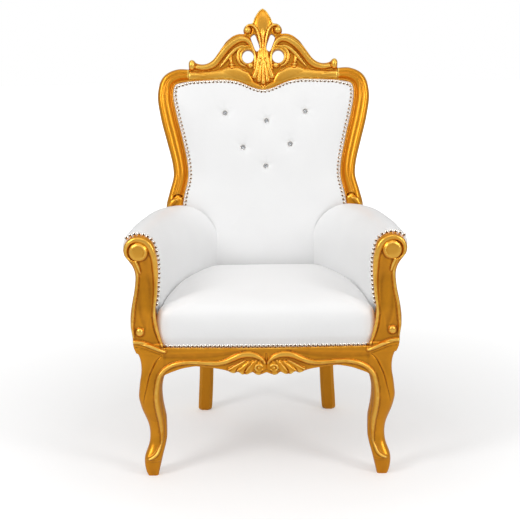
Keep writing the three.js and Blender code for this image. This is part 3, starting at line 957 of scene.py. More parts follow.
@dataclass
class FrontFrame:
    """The carved front: cabriole legs, arm posts and the apron rail, cut from one flowing form."""

    cell: float = 2.0
    post_front: float = 9.0
    post_back: float = 49.0
    rail_bow: float = 13.0
    rail_half: float = 318.0
    rail_front: float = 15.0
    rail_back: float = 55.0
    joint: float = 294.0  # x where the rail meets the leg
    scroll_height: float = 671.0
    scroll_radius: float = 42.0
    volute: tuple = (356.0, 668.0)
    leg_outer: Callable = through(
        [(0, 350), (12, 355), (34, 359), (52, 359), (66, 356), (81, 350), (98, 345), (119, 343), (139, 344),
         (159, 348), (180, 355), (200, 362), (221, 367), (241, 370), (264, 368), (287, 365), (310, 361),
         (333, 360), (356, 363), (373, 369), (388, 376), (400, 380)]
    )
    leg_inner: Callable = through(
        [(0, 320), (33, 312), (62, 305), (92, 297), (121, 292), (144, 290), (168, 292), (194, 296),
         (220, 300), (243, 302), (266, 302), (286, 299), (301, 295), (316, 292), (400, 292)]
    )
    leg_front: Callable = through(
        [(0, 20), (40, 10), (54, 8), (66, 12), (98, 26), (125, 30), (160, 25), (200, 12), (240, 4), (287, 7),
         (333, 11), (388, 8)]
    )
    leg_back: Callable = through(
        [(0, 50), (40, 58), (98, 72), (144, 77), (200, 72), (286, 66), (388, 64)]
    )
    leg_square: Callable = through([(0, 4.5), (50, 3.2), (120, 2.6), (240, 3.0), (320, 4.5), (388, 6.0)])
    post_outer: Callable = through(
        [(370, 371), (388, 378), (405, 380), (426, 382), (447, 385), (473, 385), (501, 382), (529, 377),
         (554, 372), (577, 369), (598, 368), (616, 371), (630, 377), (644, 387), (657, 396), (671, 399)]
    )
    post_inner: Callable = through(
        [(370, 292), (394, 295), (413, 299), (437, 305), (462, 310), (491, 313), (514, 312), (537, 308),
         (572, 305), (606, 303), (645, 304), (671, 309)]
    )
    post_sink: Callable = through(
        [(380, 2), (410, 4), (440, 4.5), (465, 2.5), (485, 0), (505, 0.5), (540, 5), (572, 8), (595, 8),
         (625, 4), (650, 1), (671, 0)]
    )
    rail_lower: Callable = through(
        [(0, 316), (16, 310), (30, 311), (42, 317), (54, 312), (68, 311), (80, 318), (90, 315), (104, 318),
         (120, 323), (146, 328), (200, 334), (223, 331), (245, 326), (267, 318), (284, 311), (300, 303)]
    )

    def post_outline(self) -> Array:
        """Draw the arm post's outline: two curved sides under a round scroll.

        Returns:
            Pairs of x and z.
        """
        heights = np.linspace(372, self.scroll_height, 60)
        inner = np.stack([self.post_inner(heights), heights], axis=1)
        outer = np.stack([self.post_outer(heights), heights], axis=1)[::-1]
        middle = (inner[-1, 0] + outer[0, 0]) / 2
        half = (outer[0, 0] - inner[-1, 0]) / 2
        angle = np.linspace(math.pi, 0, 40)[1:-1]
        crown = [middle + half * np.cos(angle), self.scroll_height + self.scroll_radius * np.sin(angle)]
        return np.vstack([inner, np.stack(crown, axis=1), outer])

    def rail_outline(self) -> Array:
        """Draw the rail's outline: the scalloped lower edge and the straight top.

        Returns:
            Pairs of x and z.
        """
        x = np.linspace(-self.rail_half, self.rail_half, 260)
        lower = np.stack([x, self.rail_lower(np.abs(x))], axis=1)
        top = [(self.rail_half, RAIL_TOP + 6), (-self.rail_half, RAIL_TOP + 6)]
        return np.vstack([lower, top])

    def carving(self, across: Array, up: Array) -> Array:
        """Carve the whole front.

        Args:
            across: distance from the middle.
            up: height above the floor.

        Returns:
            How far the carving stands out at every place.
        """
        work = Relief(across, up)
        self.carve_apron(work)
        self.carve_leg(work)
        self.carve_post(work)
        return work.height

    def carve_apron(self, work: Relief) -> None:
        """Carve the rail: a long bead that sweeps up in the middle over a small shell.

        Args:
            work: what is being carved.
        """
        work.cut([(60, 381), (150, 366), (290, 362)], [5, 13, 10], 3.0)
        work.bead([(14, 334), (45, 334), (80, 331), (104, 327)], [14, 17, 14, 7], 4, 3)
        for spread, low, width in ((20, 314, 8), (47, 314, 9), (70, 313, 9), (94, 318, 8)):
            flute = [(10 + 0.42 * spread, 350), (spread * 0.94, 332), (spread + 4, low)]
            work.bead(flute, [3, width * 0.9, width * 1.1], 6.5, 2.2)
        for spread, low in ((33, 318), (58, 318), (83, 319)):
            groove = [(14 + 0.42 * spread, 350), (spread * 0.96, 334), (spread + 5, low)]
            work.cut(groove, [1.0, 1.8, 2.2], 2.2)
        work.bead([(108, 326), (84, 340), (62, 352)], [3.0, 3.6, 2.6], 8)
        work.bead([(84, 322), (66, 335), (48, 350)], [2.6, 3.2, 2.4], 7.5)
        work.bead([(60, 320), (48, 334), (38, 347)], [2.6, 3.0, 2.2], 7.5)
        turn = np.linspace(-2.6, 2.6, 9)
        curl_x, curl_z = 21, 331
        curl = [(curl_x + 11 * math.cos(a), curl_z + 9 * math.sin(a)) for a in turn]
        work.bead(curl, [2.2, 3.6, 3.0], 8)
        work.dome((curl_x, curl_z), (5.5, 5), 7.5)
        work.bead([(4, 345), (13, 356), (33, 367), (53, 370), (75, 367), (95, 358), (117, 349), (143, 344),
                   (177, 345), (207, 347), (242, 345), (271, 337), (288, 327), (299, 316), (307, 304),
                   (312, 283), (315, 257), (315, 231), (312, 199), (308, 167), (306, 138), (306, 112),
                   (309, 94)],
                  [4, 7, 9, 9, 8, 7.5, 7, 6.5, 6.5, 6.5, 6.5, 6.5, 6.5, 7, 8, 8.5, 9, 9, 8.5, 8, 7.5, 6, 3],
                  8)
        work.cut([(1, 372), (2, 355), (0, 341)], [2.5, 3, 2.5], 3)

    def carve_leg(self, work: Relief) -> None:
        """Carve the leg: the lip at its head, a knee line, an instep ridge and the step above the toe.

        Args:
            work: what is being carved.
        """
        work.cut([(300, 365), (314, 351), (327, 326), (336, 306), (345, 272), (352, 243), (355, 223)],
                 [2.2, 2.8, 3.0, 3.0, 2.8, 2.4, 1.2], 3.6)
        work.cut([(372, 391), (350, 388), (332, 381), (300, 369)], [2.5, 2.5, 2.5, 2], 2.2)
        work.bead([(380, 407), (360, 406), (340, 400), (322, 392), (304, 384), (290, 378)],
                  [5.5, 6, 6, 6, 6, 5], 8)
        work.bead([(309, 96), (314, 84), (320, 72), (330, 63), (343, 57)], [3, 4.5, 5, 5, 4], 7)
        work.cut([(300, 55), (326, 51), (362, 50)], [2.4, 2.6, 2.4], 2.6)
        toe = np.clip((50 - work.up) / 4, 0, 1)
        work.height = work.height - 3.0 * toe

    def carve_post(self, work: Relief) -> None:
        """Carve the arm post: a swelling in the hollow between two beads, the volute and a boss at the foot.

        Args:
            work: what is being carved.
        """
        work.cut([(338, 648), (334, 615), (334, 575), (341, 530), (346, 490), (346, 462), (344, 448)],
                 [12, 20, 21, 22, 22, 16, 6], 5)
        work.hollow((342, 530), (19, 80), -6)
        work.bead([(296, 396), (304, 420), (311, 448), (315, 480), (313, 512), (310, 545), (308, 580),
                   (309, 615), (311, 645), (318, 672), (330, 691), (346, 701), (364, 703), (380, 696),
                   (390, 682), (391, 666), (385, 650), (374, 641)],
                  [4, 6, 7, 7.5, 7.5, 7.5, 8, 8.5, 9, 9.5, 10, 10, 9.5, 8.5, 7.5, 6.5, 5, 3], 8)
        work.bead([(378, 420), (380, 449), (377, 480), (374, 512), (368, 545), (363, 580), (361, 606),
                   (365, 625), (371, 640)], [3, 4.5, 5, 5.5, 5.5, 5.5, 5.5, 5, 4], 6)
        work.bead([(364, 640), (358, 625), (353, 607)], [5, 5, 2.5], 8.5)
        x, z = self.volute
        ring = [(x + 19.5 * math.cos(a), z + 19.5 * math.sin(a)) for a in np.linspace(-0.2, 4.9, 14)]
        work.dome(self.volute, (27.5, 27.5), 9, 7)
        work.bead(ring, [1.2, 2.2, 2.2, 1.2], 10.8)
        work.cut([(323, 480), (321, 450), (312, 418), (303, 396)], [2.4, 2.4, 2.2, 1.6], 2.4)
        work.dome((359, 436), (12.5, 13), 10.5)

    def form(self, x: Array, y: Array, z: Array) -> Array:
        """Give the front frame's form.

        Args:
            x: distance across.
            y: distance behind the rail's front plane.
            z: height above the floor.

        Returns:
            The signed values, negative inside the wood.
        """
        across = np.abs(x)
        flat_x, flat_z = across[:, 0, :], z[:, 0, :]
        raised = self.carving(flat_x, flat_z)[:, None, :]
        y = y + raised * np.clip((40 - y) / 12, 0, 1)  # the carving fades out towards the back
        sides = (self.leg_outer, self.leg_inner, self.leg_front, self.leg_back)
        outer, inner, front, back = (side(z) for side in sides)
        power = self.leg_square(z)
        wide, deep = (outer - inner) / 2, (back - front) / 2
        u = np.abs(across - (outer + inner) / 2) / wide
        v = np.abs(y - (back + front) / 2) / deep
        leg = ((u**power + v**power) ** (1 / power) - 1) * np.minimum(wide, deep)
        leg = soft_max(leg, z - RAIL_TOP - 12 * (y < 44), 2)  # in front it runs on up into the post
        sink = self.post_sink(z)
        post = outline_distance(flat_x, flat_z, [self.post_outline()])[:, None, :]
        post = soft_max(soft_max(post, self.post_front + sink - y, 5), y - self.post_back, 3)
        bow = self.rail_bow * (1 - (across / self.rail_half) ** 2)
        rail = outline_distance(flat_x, flat_z, [self.rail_outline()])[:, None, :]
        rail = soft_max(soft_max(rail, self.rail_front - bow - y, 3), y - self.rail_back + bow, 3)
        rail = soft_max(rail, z - RAIL_TOP, 2)
        return soft_min(soft_min(leg, post, 4), rail, 5)

    def piece(self, low: Sequence[float], high: Sequence[float]) -> Surface:
        """Carve one block of the frame and read its relief.

        Args:
            low: the block's lowest corner.
            high: its highest corner.

        Returns:
            The carved skin.
        """
        made = carve(self.form, low, high, self.cell)
        made.relax(2)
        # The relief read here sets the painted shade and highlight of the gilt.
        made.read_relief(1.1, standing_out(made.points, self.carving, self.cell, 24))
        return made

    def build(self, shop: Shop) -> None:
        """Carve the rail, the legs and the posts, and saw them apart at their joints.

        Args:
            shop: puts the pieces in the scene.
        """
        above, below = ((0, 0, RAIL_TOP), (0, 0, 1)), ((0, 0, RAIL_TOP), (0, 0, -1))
        underground = ((0, 0, 0), (0, 0, -1))
        ends = [((sign * self.joint, 0, 0), (sign, 0, 0)) for sign in (-1, 1)]
        rail = self.piece((-306, -16, 296), (306, 64, 396))
        shop.place("apron_rail", rail, Slot.GILT, ["front_rail"], cuts=[*ends, above])
        leg = self.piece((270, -16, -6), (392, 90, 400))
        post = self.piece((276, -16, 376), (408, 60, 722))
        for sign, (side, leg_part), (_, post_part) in zip((1, -1), leg.both_sides(), post.both_sides()):
            inner = ((sign * self.joint, 0, 0), (-sign, 0, 0))
            shop.place(f"carved_leg_{side}", leg_part, Slot.GILT, [f"front_leg_{side}"],
                       cuts=[above, underground, inner])
            shop.place(f"carved_post_{side}", post_part, Slot.GILT, [f"arm_post_{side}"],
                       cuts=[below, inner])


# ------------------------------------------------------------------ the crest


@dataclass
class Crest:
    """The rail over the back: pierced, with scrolled bands, a fluted shell and a petal above two curls."""

    cell: float = 1.7
    ground: float = 11.0  # how far the carving's ground lies behind the stiles' faces
    back: float = 38.0
    half: float = 246.0  # half its width, where it meets the stiles
    lower: Callable = through([(0, 679), (22, 683), (48, 693), (76, 705), (102, 711), (136, 714), (246, 710)])
    eye: tuple = (50.0, 791.0)

    def outline(self) -> list[Array]:
        """Draw the board's outline and its four openings.

        Returns:
            Loops of x and height up the back's plane, the outline first.
        """
        x = np.linspace(0, self.half, 70)
        right = np.vstack([
            np.stack([x, self.lower(x)], axis=1),
            spline([(self.half, 757), (247, 767), (244, 777), (236, 782), (228, 779)], 16),
            spline([(223, 773), (213, 769), (196, 768), (180, 772), (164, 783), (148, 804), (133, 826),
                    (123, 840), (112, 850), (98, 860), (80, 866), (60, 866)], 60),
            spline([(60, 866), (64, 875), (62, 885), (56, 893), (47, 899), (35, 900)], 20),
            spline([(32, 902), (28, 914), (21, 927), (11, 941), (0, 949)], 20),
        ])
        loops = [np.vstack([right, right[1:-1][::-1] * (-1, 1)])]
        turn = np.linspace(0, 2 * math.pi, 40, endpoint=False)
        slot = [(41, 855), (35, 862), (28, 866), (23, 860), (20, 850), (14, 834), (11, 820), (13, 811),
                (21, 808), (26, 813), (29, 820), (36, 839)]
        for side in (-1, 1):
            hole = [side * (self.eye[0] + 19.5 * np.cos(turn)), self.eye[1] + 21.5 * np.sin(turn)]
            loops.append(np.stack(hole, axis=1))
            loops.append(np.array(slot, float) * (side, 1))
        return loops

    def carving(self, across: Array, up: Array) -> Array:
        """Carve the whole crest.

        Args:
            across: distance from the middle.
            up: height up the back's plane.

        Returns:
            How far the carving stands out from the ground at every place.
        """
        work = Relief(across, up)
        self.carve_band(work)
        self.carve_scrolls(work)
        self.carve_shell(work)
        self.carve_petal(work)
        return work.height

    def carve_band(self, work: Relief) -> None:
        """Carve the plain band along the lower edge, with a fold at its end.

        Args:
            work: what is being carved.
        """
        work.bead([(252, 727), (180, 728), (136, 730), (110, 729), (80, 720), (50, 706), (25, 694), (0, 687)],
                  [18, 18, 19, 21, 20, 16, 12, 9], 9.5, 2.2)
        work.bead([(156, 733), (128, 737), (102, 738), (78, 732), (58, 722), (44, 710)],
                  [8, 15, 22, 24, 22, 12], 10, 3)
        work.bead([(256, 729), (222, 729), (192, 728)], [15, 14, 8], 12, 2.4)
        work.cut([(250, 716), (222, 715), (180, 718), (136, 720), (105, 717), (80, 710), (50, 698),
                  (20, 687)], [1.8, 2, 2, 2, 2, 2, 1.8, 1.2], 1.6)

    def carve_scrolls(self, work: Relief) -> None:
        """Carve the long scrolled bands, the leaf between them and the ball below the eye.

        Args:
            work: what is being carved.
        """
        turn = np.linspace(-1.3, 2.2, 9)
        eye_x, eye_up = self.eye
        work.bead([(103, 801), (108, 785), (103, 765)], [3, 6, 4], 7)
        work.bead([(eye_x + 34 * math.cos(a), eye_up + 33 * math.sin(a)) for a in turn], [3, 6, 7, 6, 4], 8)
        work.bead([(eye_x + 23 * math.cos(a), eye_up + 25 * math.sin(a)) for a in np.linspace(-1.9, 3.4, 12)],
                  [4, 5.5, 5.5, 4], 6.5)
        work.bead([(143, 757), (126, 777), (106, 801), (86, 818), (66, 825), (47, 817)],
                  [2, 5.5, 7, 7, 6, 3], 8.5)
        work.bead([(222, 758), (200, 756), (180, 760), (162, 770), (143, 793), (121, 820), (98, 839),
                   (74, 849), (54, 846), (39, 829), (30, 802), (26, 776), (30, 750)],
                  [7, 10, 12, 12.5, 12.5, 12.5, 12, 11, 9.5, 8, 7, 6, 3], 11)
        work.cut([(206, 763), (182, 767), (164, 778), (146, 800), (124, 826), (100, 845), (76, 855)],
                 [1, 2, 2.4, 2.6, 2.4, 2, 1], 2.0)
        work.cut([(252, 744), (214, 743), (184, 744), (152, 749), (134, 758), (123, 769), (114, 760),
                  (104, 752), (92, 757), (76, 753), (62, 744), (46, 742), (34, 731), (18, 707), (3, 688)],
                 [2.6, 2.6, 2.6, 2.4, 2.4, 2.4, 2.4, 2.4, 2.4, 2.4, 2.6, 3, 3, 3, 2], 5)
        diamond = np.clip(1 - np.abs(work.across - 104) / 13 - np.abs(work.up - 765) / 12, 0, 1)
        work.height = np.maximum(work.height, 12 * diamond**0.7)
        work.dome((42, 762), (10.5, 10.5), 11.5)
        work.dome((236, 766), (12, 19), 13)
        work.cut([(222, 784), (221, 768), (226, 752)], [2.6, 3, 2], 4)

    def carve_shell(self, work: Relief) -> None:
        """Carve the fluted shell in the middle, with two pits at its neck.

        Args:
            work: what is being carved.
        """
        for spread, low in ((28.5, 722), (14.5, 710), (0, 703)):
            work.bead([(0.42 * spread, 816), (0.5 * spread, 788), (0.7 * spread, 752), (spread, low + 4)],
                      [5.5, 6.5, 8.5, 9.5], 11)
        for spread, low in ((21, 712), (7, 703)):
            work.cut([(0.3 * spread, 780), (0.6 * spread, 752), (spread, low)], [1, 1.6, 2.2], 2.5)
        work.hollow((7, 783), (3.5, 3.5), 4)
        work.bead([(14, 806), (17, 785), (24, 758), (34, 733)], [2, 3, 3, 1.5], 8)

    def carve_petal(self, work: Relief) -> None:
        """Carve the stem and the petal, whose edge is rolled, and the two curls beside them.

        Args:
            work: what is being carved.
        """
        work.dome((0, 902), (31, 46), 9, 2.4)
        work.bead([(0, 813), (0, 850), (0, 878)], [4, 6, 10], 9)
        work.bead([(33, 897), (27, 912), (19, 926), (10, 939), (0, 946)], [3.5, 4, 4, 3.5, 3], 9)
        work.cut([(4, 824), (6, 850), (16, 880), (24, 892)], [1, 2, 2.6, 1.5], 3)
        work.bead([(56, 887), (47, 894), (32, 892), (23, 884), (17, 871), (12, 853), (9, 833), (7, 815)],
                  [3, 4.5, 5.5, 5.5, 5.2, 5, 4.5, 4], 10)
        work.dome((50, 878), (12.5, 12.5), 12)
        work.cut([(36, 885), (36, 876), (41, 866)], [2, 2.6, 2], 4)

    def form(self, x: Array, behind: Array, up: Array) -> Array:
        """Give the crest's form.

        Args:
            x: distance across.
            behind: distance behind the stiles' faces.
            up: height up the back's plane.

        Returns:
            The signed values, negative inside the wood.
        """
        flat_x, flat_up = np.abs(x[:, 0, :]), up[:, 0, :]
        raised = self.carving(flat_x, flat_up)[:, None, :]
        board = outline_distance(x[:, 0, :], flat_up, self.outline())[:, None, :]
        return soft_max(soft_max(board, self.ground - raised - behind, 4), behind - self.back, 4)

    def build(self, shop: Shop) -> None:
        """Carve the crest and lean it back.

        Args:
            shop: puts the piece in the scene.
        """
        made = carve(self.form, (-255, -6, 670), (255, 45, 957), self.cell)
        made.relax(2)
        # The relief read here sets the painted shade and highlight of the gilt.
        made.read_relief(1.3, standing_out(made.points, self.carving, self.cell, 20))
        made.points[:, 0] = np.clip(made.points[:, 0], -self.half, self.half)
        made.points = on_back(made.points[:, 0], made.points[:, 2], made.points[:, 1])
        shop.place("carved_crest", made, Slot.GILT, ["crest_rail"])


# ------------------------------------------------------------------ the back's posts and the plain rails


@dataclass
class Stile:
    """The line of a back stile in the back's plane, and its width."""

    path: tuple = ((199, -70), (201, -30), (222, 40), (250, 140), (282, 235), (299, 290), (292, 335),
                   (277, 395), (279, 440), (296, 520), (315, 600), (324, 667), (313, 711), (283, 729),
                   (246.4, 731))
    widths: Callable = through([(0, 44), (0.25, 48), (0.4, 58), (0.5, 52), (0.6, 52), (0.75, 56), (0.9, 52),
                                (1, 42)])

    def beside(self, share: Array, offset: Array) -> Array:
        """Place points beside the right stile's middle line.

        Args:
            share: how far along it they are, from 0 to 1.
            offset: how far they are to its outer side.

        Returns:
            Pairs of x and height up the back's plane.
        """
        line = spline(self.path, 800)
        along = np.gradient(line, axis=0)
        along[-1] = (-1, 0)
        along /= np.linalg.norm(along, axis=1)[:, None]
        at = np.linspace(0, 1, len(line))
        x, up, go_x, go_up = (np.interp(share, at, c) for c in (*line.T, *along.T))
        return np.stack([x + go_up * offset, up - go_x * offset], axis=-1)


@dataclass
class RearPosts:
    """The rear legs and back stiles, each in one piece: square below the seat and moulded above the arm."""

    stile: Stile = field(default_factory=Stile)
    leg_x: Callable = through([(0, 214), (150, 205), (388, 199)])
    leg_y: Callable = through([(0, 634), (150, 606), (388, 574)])
    leg_half: Callable = through([(0, 19), (8, 23), (150, 23), (388, 22)])
    chamfer: float = 10.0
    moulding: Callable = through([(0, 17), (0.04, 10.5), (0.13, 5), (0.26, 2.6), (0.39, 4.6), (0.53, 0.4),
                                  (0.66, 3.6), (0.77, 9.5), (0.82, 10.5), (0.885, 6.2), (0.95, 6.4), (1, 12)])
    plain: Callable = through([(0, 16), (0.06, 8.5), (0.18, 3), (0.35, 0.6), (0.5, 0), (0.65, 0.8),
                               (0.82, 3.4), (0.94, 8), (1, 15)])
    rounded: Callable = through([(0, 12), (0.06, 5), (0.18, 1), (0.5, 0), (0.82, 1), (0.94, 5), (1, 12)])
    stile_from: float = 0.075  # how far along the stile's line it rises from the leg
    moulded_from: float = 322.0  # height up the back where the moulding starts
    front_count: int = 54
    back_count: int = 22

    def leg_ring(self, height: float) -> Array:
        """Draw the square leg's section.

        Args:
            height: the height above the floor.

        Returns:
            Its points, front face first.
        """
        half = float(self.leg_half(height))
        points = []
        for count, facing in ((self.front_count, -1), (self.back_count, 1)):
            s = np.linspace(-1, 1, count) * half
            depth = half - np.maximum(0, self.chamfer - (half - np.abs(s)))
            points.append(np.stack([-facing * s, facing * depth, np.zeros(count)], axis=1))
        return np.vstack(points) + (self.leg_x(height), self.leg_y(height), height)

    def stile_rings(self) -> Array:
        """Draw the stile's sections from the seat to the shoulder.

        Returns:
            One ring of points for each.
        """
        share = np.linspace(self.stile_from, 1, 300)[:, None]
        width = self.stile.widths(share)
        s = np.linspace(0, 1, self.front_count)
        front = self.stile.beside(share, width * (s - 0.5))
        moulded = np.clip((front[..., 1] - self.moulded_from) / 10, 0, 1) ** 2
        depth = moulded * self.moulding(1 - s) + (1 - moulded) * self.plain(1 - s)
        work = Relief(front[..., 0], front[..., 1])
        work.bead([(316, 300), (304, 313), (292, 320)], [8, 10, 5], 5)
        work.cut([(306, 322), (297, 334), (287, 337), (276, 331), (270, 318)], [2, 2.8, 3, 2.8, 2], 4.5)
        front = on_back(front[..., 0], front[..., 1], depth - work.height)
        s = np.linspace(1, 0, self.back_count)
        rear = self.stile.beside(share, width * (s - 0.5))
        rear = on_back(rear[..., 0], rear[..., 1], BACK_WOOD - self.rounded(s))
        return np.concatenate([front, rear], axis=1)

    def build(self, shop: Shop) -> None:
        """Make both posts.

        Args:
            shop: puts the pieces in the scene.
        """
        heights = np.concatenate([np.linspace(0, 10, 6), np.linspace(16, 352, 80)])
        legs = np.stack([self.leg_ring(height) for height in heights])
        stile = self.stile_rings()
        blend = np.linspace(0, 1, 14)[1:-1, None, None]
        blend = blend * blend * (3 - 2 * blend)
        made = skin(np.concatenate([legs, legs[-1] * (1 - blend) + stile[0] * blend, stile]))
        # The relief read here sets the painted shade and highlight of the gilt.
        made.read_relief(0.9)
        for side, surface in made.both_sides():
            shop.place(f"back_post_{side}", surface, Slot.GILT, [f"rear_post_{side}"], crease=50)


@dataclass
class PlainRails:
    """The side rails and the rear rail, which the upholstery mostly hides."""

    wood: float = 34.0
    front: tuple = (336.0, 40.0)
    rear: tuple = (228.0, 572.0)
    lower: float = 316.0
    arch: float = 16.0
    rounding: float = 4.0
    rear_half: float = 188.0  # half the rear rail's length
    rear_thick: float = 32.0
    rear_high: float = 50.0

    def section(self, low: float, thick: float, high: float) -> Array:
        """Draw a rounded board's section.

        Args:
            low: height of its lower edge.
            thick: its thickness.
            high: height of its upper edge.

        Returns:
            Pairs of depth and height, outer face first.
        """
        r = self.rounding
        ring = []
        for sx, sz in ((1, -1), (1, 1), (-1, 1), (-1, -1)):
            start = math.atan2(sz, sx) - math.pi / 4
            for a in np.linspace(start, start + math.pi / 2, 6):
                ring.append((sx * (thick / 2 - r) + r * math.cos(a),
                             (high if sz > 0 else low) - sz * r + r * math.sin(a)))
        return np.array(ring)

    def side(self) -> Surface:
        """Make the right side rail, its lower edge gently arched.

        Returns:
            The rail.
        """
        share = np.linspace(0, 1, 70)
        run = np.array(self.rear) - np.array(self.front)
        run_unit = run / np.linalg.norm(run)
        out = np.array([run_unit[1], -run_unit[0]])
        rings = []
        for t in share:
            ring = self.section(self.lower + self.arch * math.sin(math.pi * t), self.wood, RAIL_TOP)
            at = np.array(self.front) + run * t
            place = at + ring[:, :1] * out
            rings.append(np.column_stack([place, ring[:, 1]])[::-1])
        return skin(np.array(rings))

    def rear_rail(self) -> Surface:
        """Make the rail across the back of the seat.

        Returns:
            The rail.
        """
        ring = self.section(RAIL_TOP - self.rear_high, self.rear_thick, RAIL_TOP)
        ring[:, 0] += REAR_RAIL_FRONT + self.rear_thick / 2
        across = np.linspace(-self.rear_half, self.rear_half, 60)
        return skin(np.array([np.column_stack([np.full(len(ring), x), ring]) for x in across]))

    def build(self, shop: Shop) -> None:
        """Make the three rails.

        Args:
            shop: puts the pieces in the scene.
        """
        sides = self.side().both_sides()
        boards = [(f"side_board_{side}", board, f"side_rail_{side}") for side, board in sides]
        for name, board, node in [*boards, ("rear_board", self.rear_rail(), "rear_rail")]:
            # The relief read here sets the painted shade and highlight of the gilt.
            board.read_relief(0.5)
            shop.place(name, board, Slot.GILT, [node], crease=50)


# ------------------------------------------------------------------ upholstery


def smoothstep(value: Array, low: float, high: float) -> Array:
    """Rise smoothly from 0 at low to 1 at high."""
    t = np.clip((np.asarray(value, float) - low) / (high - low), 0, 1)
    return t * t * (3 - 2 * t)


def rounded_loop(points: Array, count: int, rounds: int) -> Array:
    """Resample a closed polygon and round its corners.

    Args:
        points: its corners.
        count: how many points to return.
        rounds: how many times to average neighbours.

    Returns:
        The rounded loop.
    """
    loop = evenly(np.vstack([points, points[:1]]), count + 1)[:-1]
    for _ in range(rounds):
        loop = 0.5 * loop + 0.25 * (np.roll(loop, 1, 0) + np.roll(loop, -1, 0))
    return loop


# Half the seat's width, by how far back it is.
SEAT_HALF = through([(40, 302), (120, 300), (220, 290), (330, 272), (420, 243), (480, 214), (512, 194),
                     (524, 180)])


@dataclass
class Filling:
    """Blows a pad up as cloth that is held where it is nailed, tucked in or buttoned.

    The cloth is a coarse copy of the pad, and the pad follows it, so it keeps its folds and edges.
    """

    voxel: float = 0.009
    pressure: float = 4.0
    cap: float = 5.0  # how far the leather may move, in millimetres
    last_frame: int = 20
    rounds: int = 12  # how often the pad's movement is smoothed

    def copy(self, shop: Shop, surface: Surface) -> bpy.types.Object:
        """Copy a pad coarsely, in even squares.

        Args:
            shop: turns the pad into a mesh.
            surface: the pad.

        Returns:
            The copy.
        """
        fine = bpy.data.objects.new("filling_fine", shop.mesh("filling_fine", surface))
        bpy.context.scene.collection.objects.link(fine)
        remesh = fine.modifiers.new("squares", "REMESH")
        remesh.mode, remesh.voxel_size = "VOXEL", self.voxel
        made = fine.evaluated_get(bpy.context.evaluated_depsgraph_get())
        coarse = bpy.data.objects.new("filling", bpy.data.meshes.new_from_object(made))
        bpy.context.scene.collection.objects.link(coarse)
        self.discard(fine)
        return coarse

    @staticmethod
    def discard(thing: bpy.types.Object) -> None:
        """Remove an object and its mesh.

        Args:
            thing: the object.
        """
        mesh = thing.data
        bpy.data.objects.remove(thing)
        bpy.data.meshes.remove(mesh)

    def blow(self, coarse: bpy.types.Object, held: Array) -> Array:
        """Run the cloth on the copy.

        Args:
            coarse: the copy.
            held: how firmly each of its points is held, from 0 to 1.

        Returns:
            How far each of its points moved, in metres.
        """
        group = coarse.vertex_groups.new(name="held")
        for index in np.flatnonzero(held > 0.01):
            group.add([int(index)], float(held[index]), "REPLACE")
        cloth = coarse.modifiers.new("cloth", "CLOTH")
        cloth.settings.quality = 5
        cloth.settings.use_pressure = True
        cloth.settings.uniform_pressure_force = self.pressure
        cloth.settings.vertex_group_mass = "held"
        cloth.settings.effector_weights.gravity = 0
        cloth.collision_settings.use_collision = False
        cloth.point_cache.frame_start, cloth.point_cache.frame_end = 1, self.last_frame
        for number in range(1, self.last_frame + 1):
            bpy.context.scene.frame_set(number)
        blown = coarse.evaluated_get(bpy.context.evaluated_depsgraph_get())
        moved = points_of(blown.data) - points_of(coarse.data)
        bpy.context.scene.frame_set(1)
        return moved

    def swell(self, shop: Shop, surface: Surface, held: Callable[[Array], Array]) -> None:
        """Args:
            shop: turns the pad into a mesh.
            surface: the pad, which is changed.
            held: gives how firmly points of the setting-out are held, from 0 to 1.
        """
        coarse = self.copy(shop, surface)
        start = points_of(coarse.data)
        moved = self.blow(coarse, held(from_frame(start))) / MM
        loops = [tuple(face.vertices) for face in coarse.data.polygons]
        tree = BVHTree.FromPolygons(start.tolist(), loops)
        shift = np.zeros_like(surface.points)
        for row, point in enumerate(to_frame(surface.points)):
            near = list(loops[tree.find_nearest(Vector(point))[2]])
            weight = 1 / (np.linalg.norm(start[near] - point, axis=1) + 1e-4)
            shift[row] = weight @ moved[near] / weight.sum()
        size = np.linalg.norm(shift, axis=1)[:, None]
        shift *= self.cap * np.tanh(size / self.cap) / np.maximum(size, 1e-6)
        for _ in range(self.rounds):
            shift = 0.4 * shift + 0.6 * surface.around(shift)
        LOG.info("filling: moved %.1f mm on average, %.1f mm at most", size.mean(), size.max())
        surface.points = surface.points + shift
        self.discard(coarse)


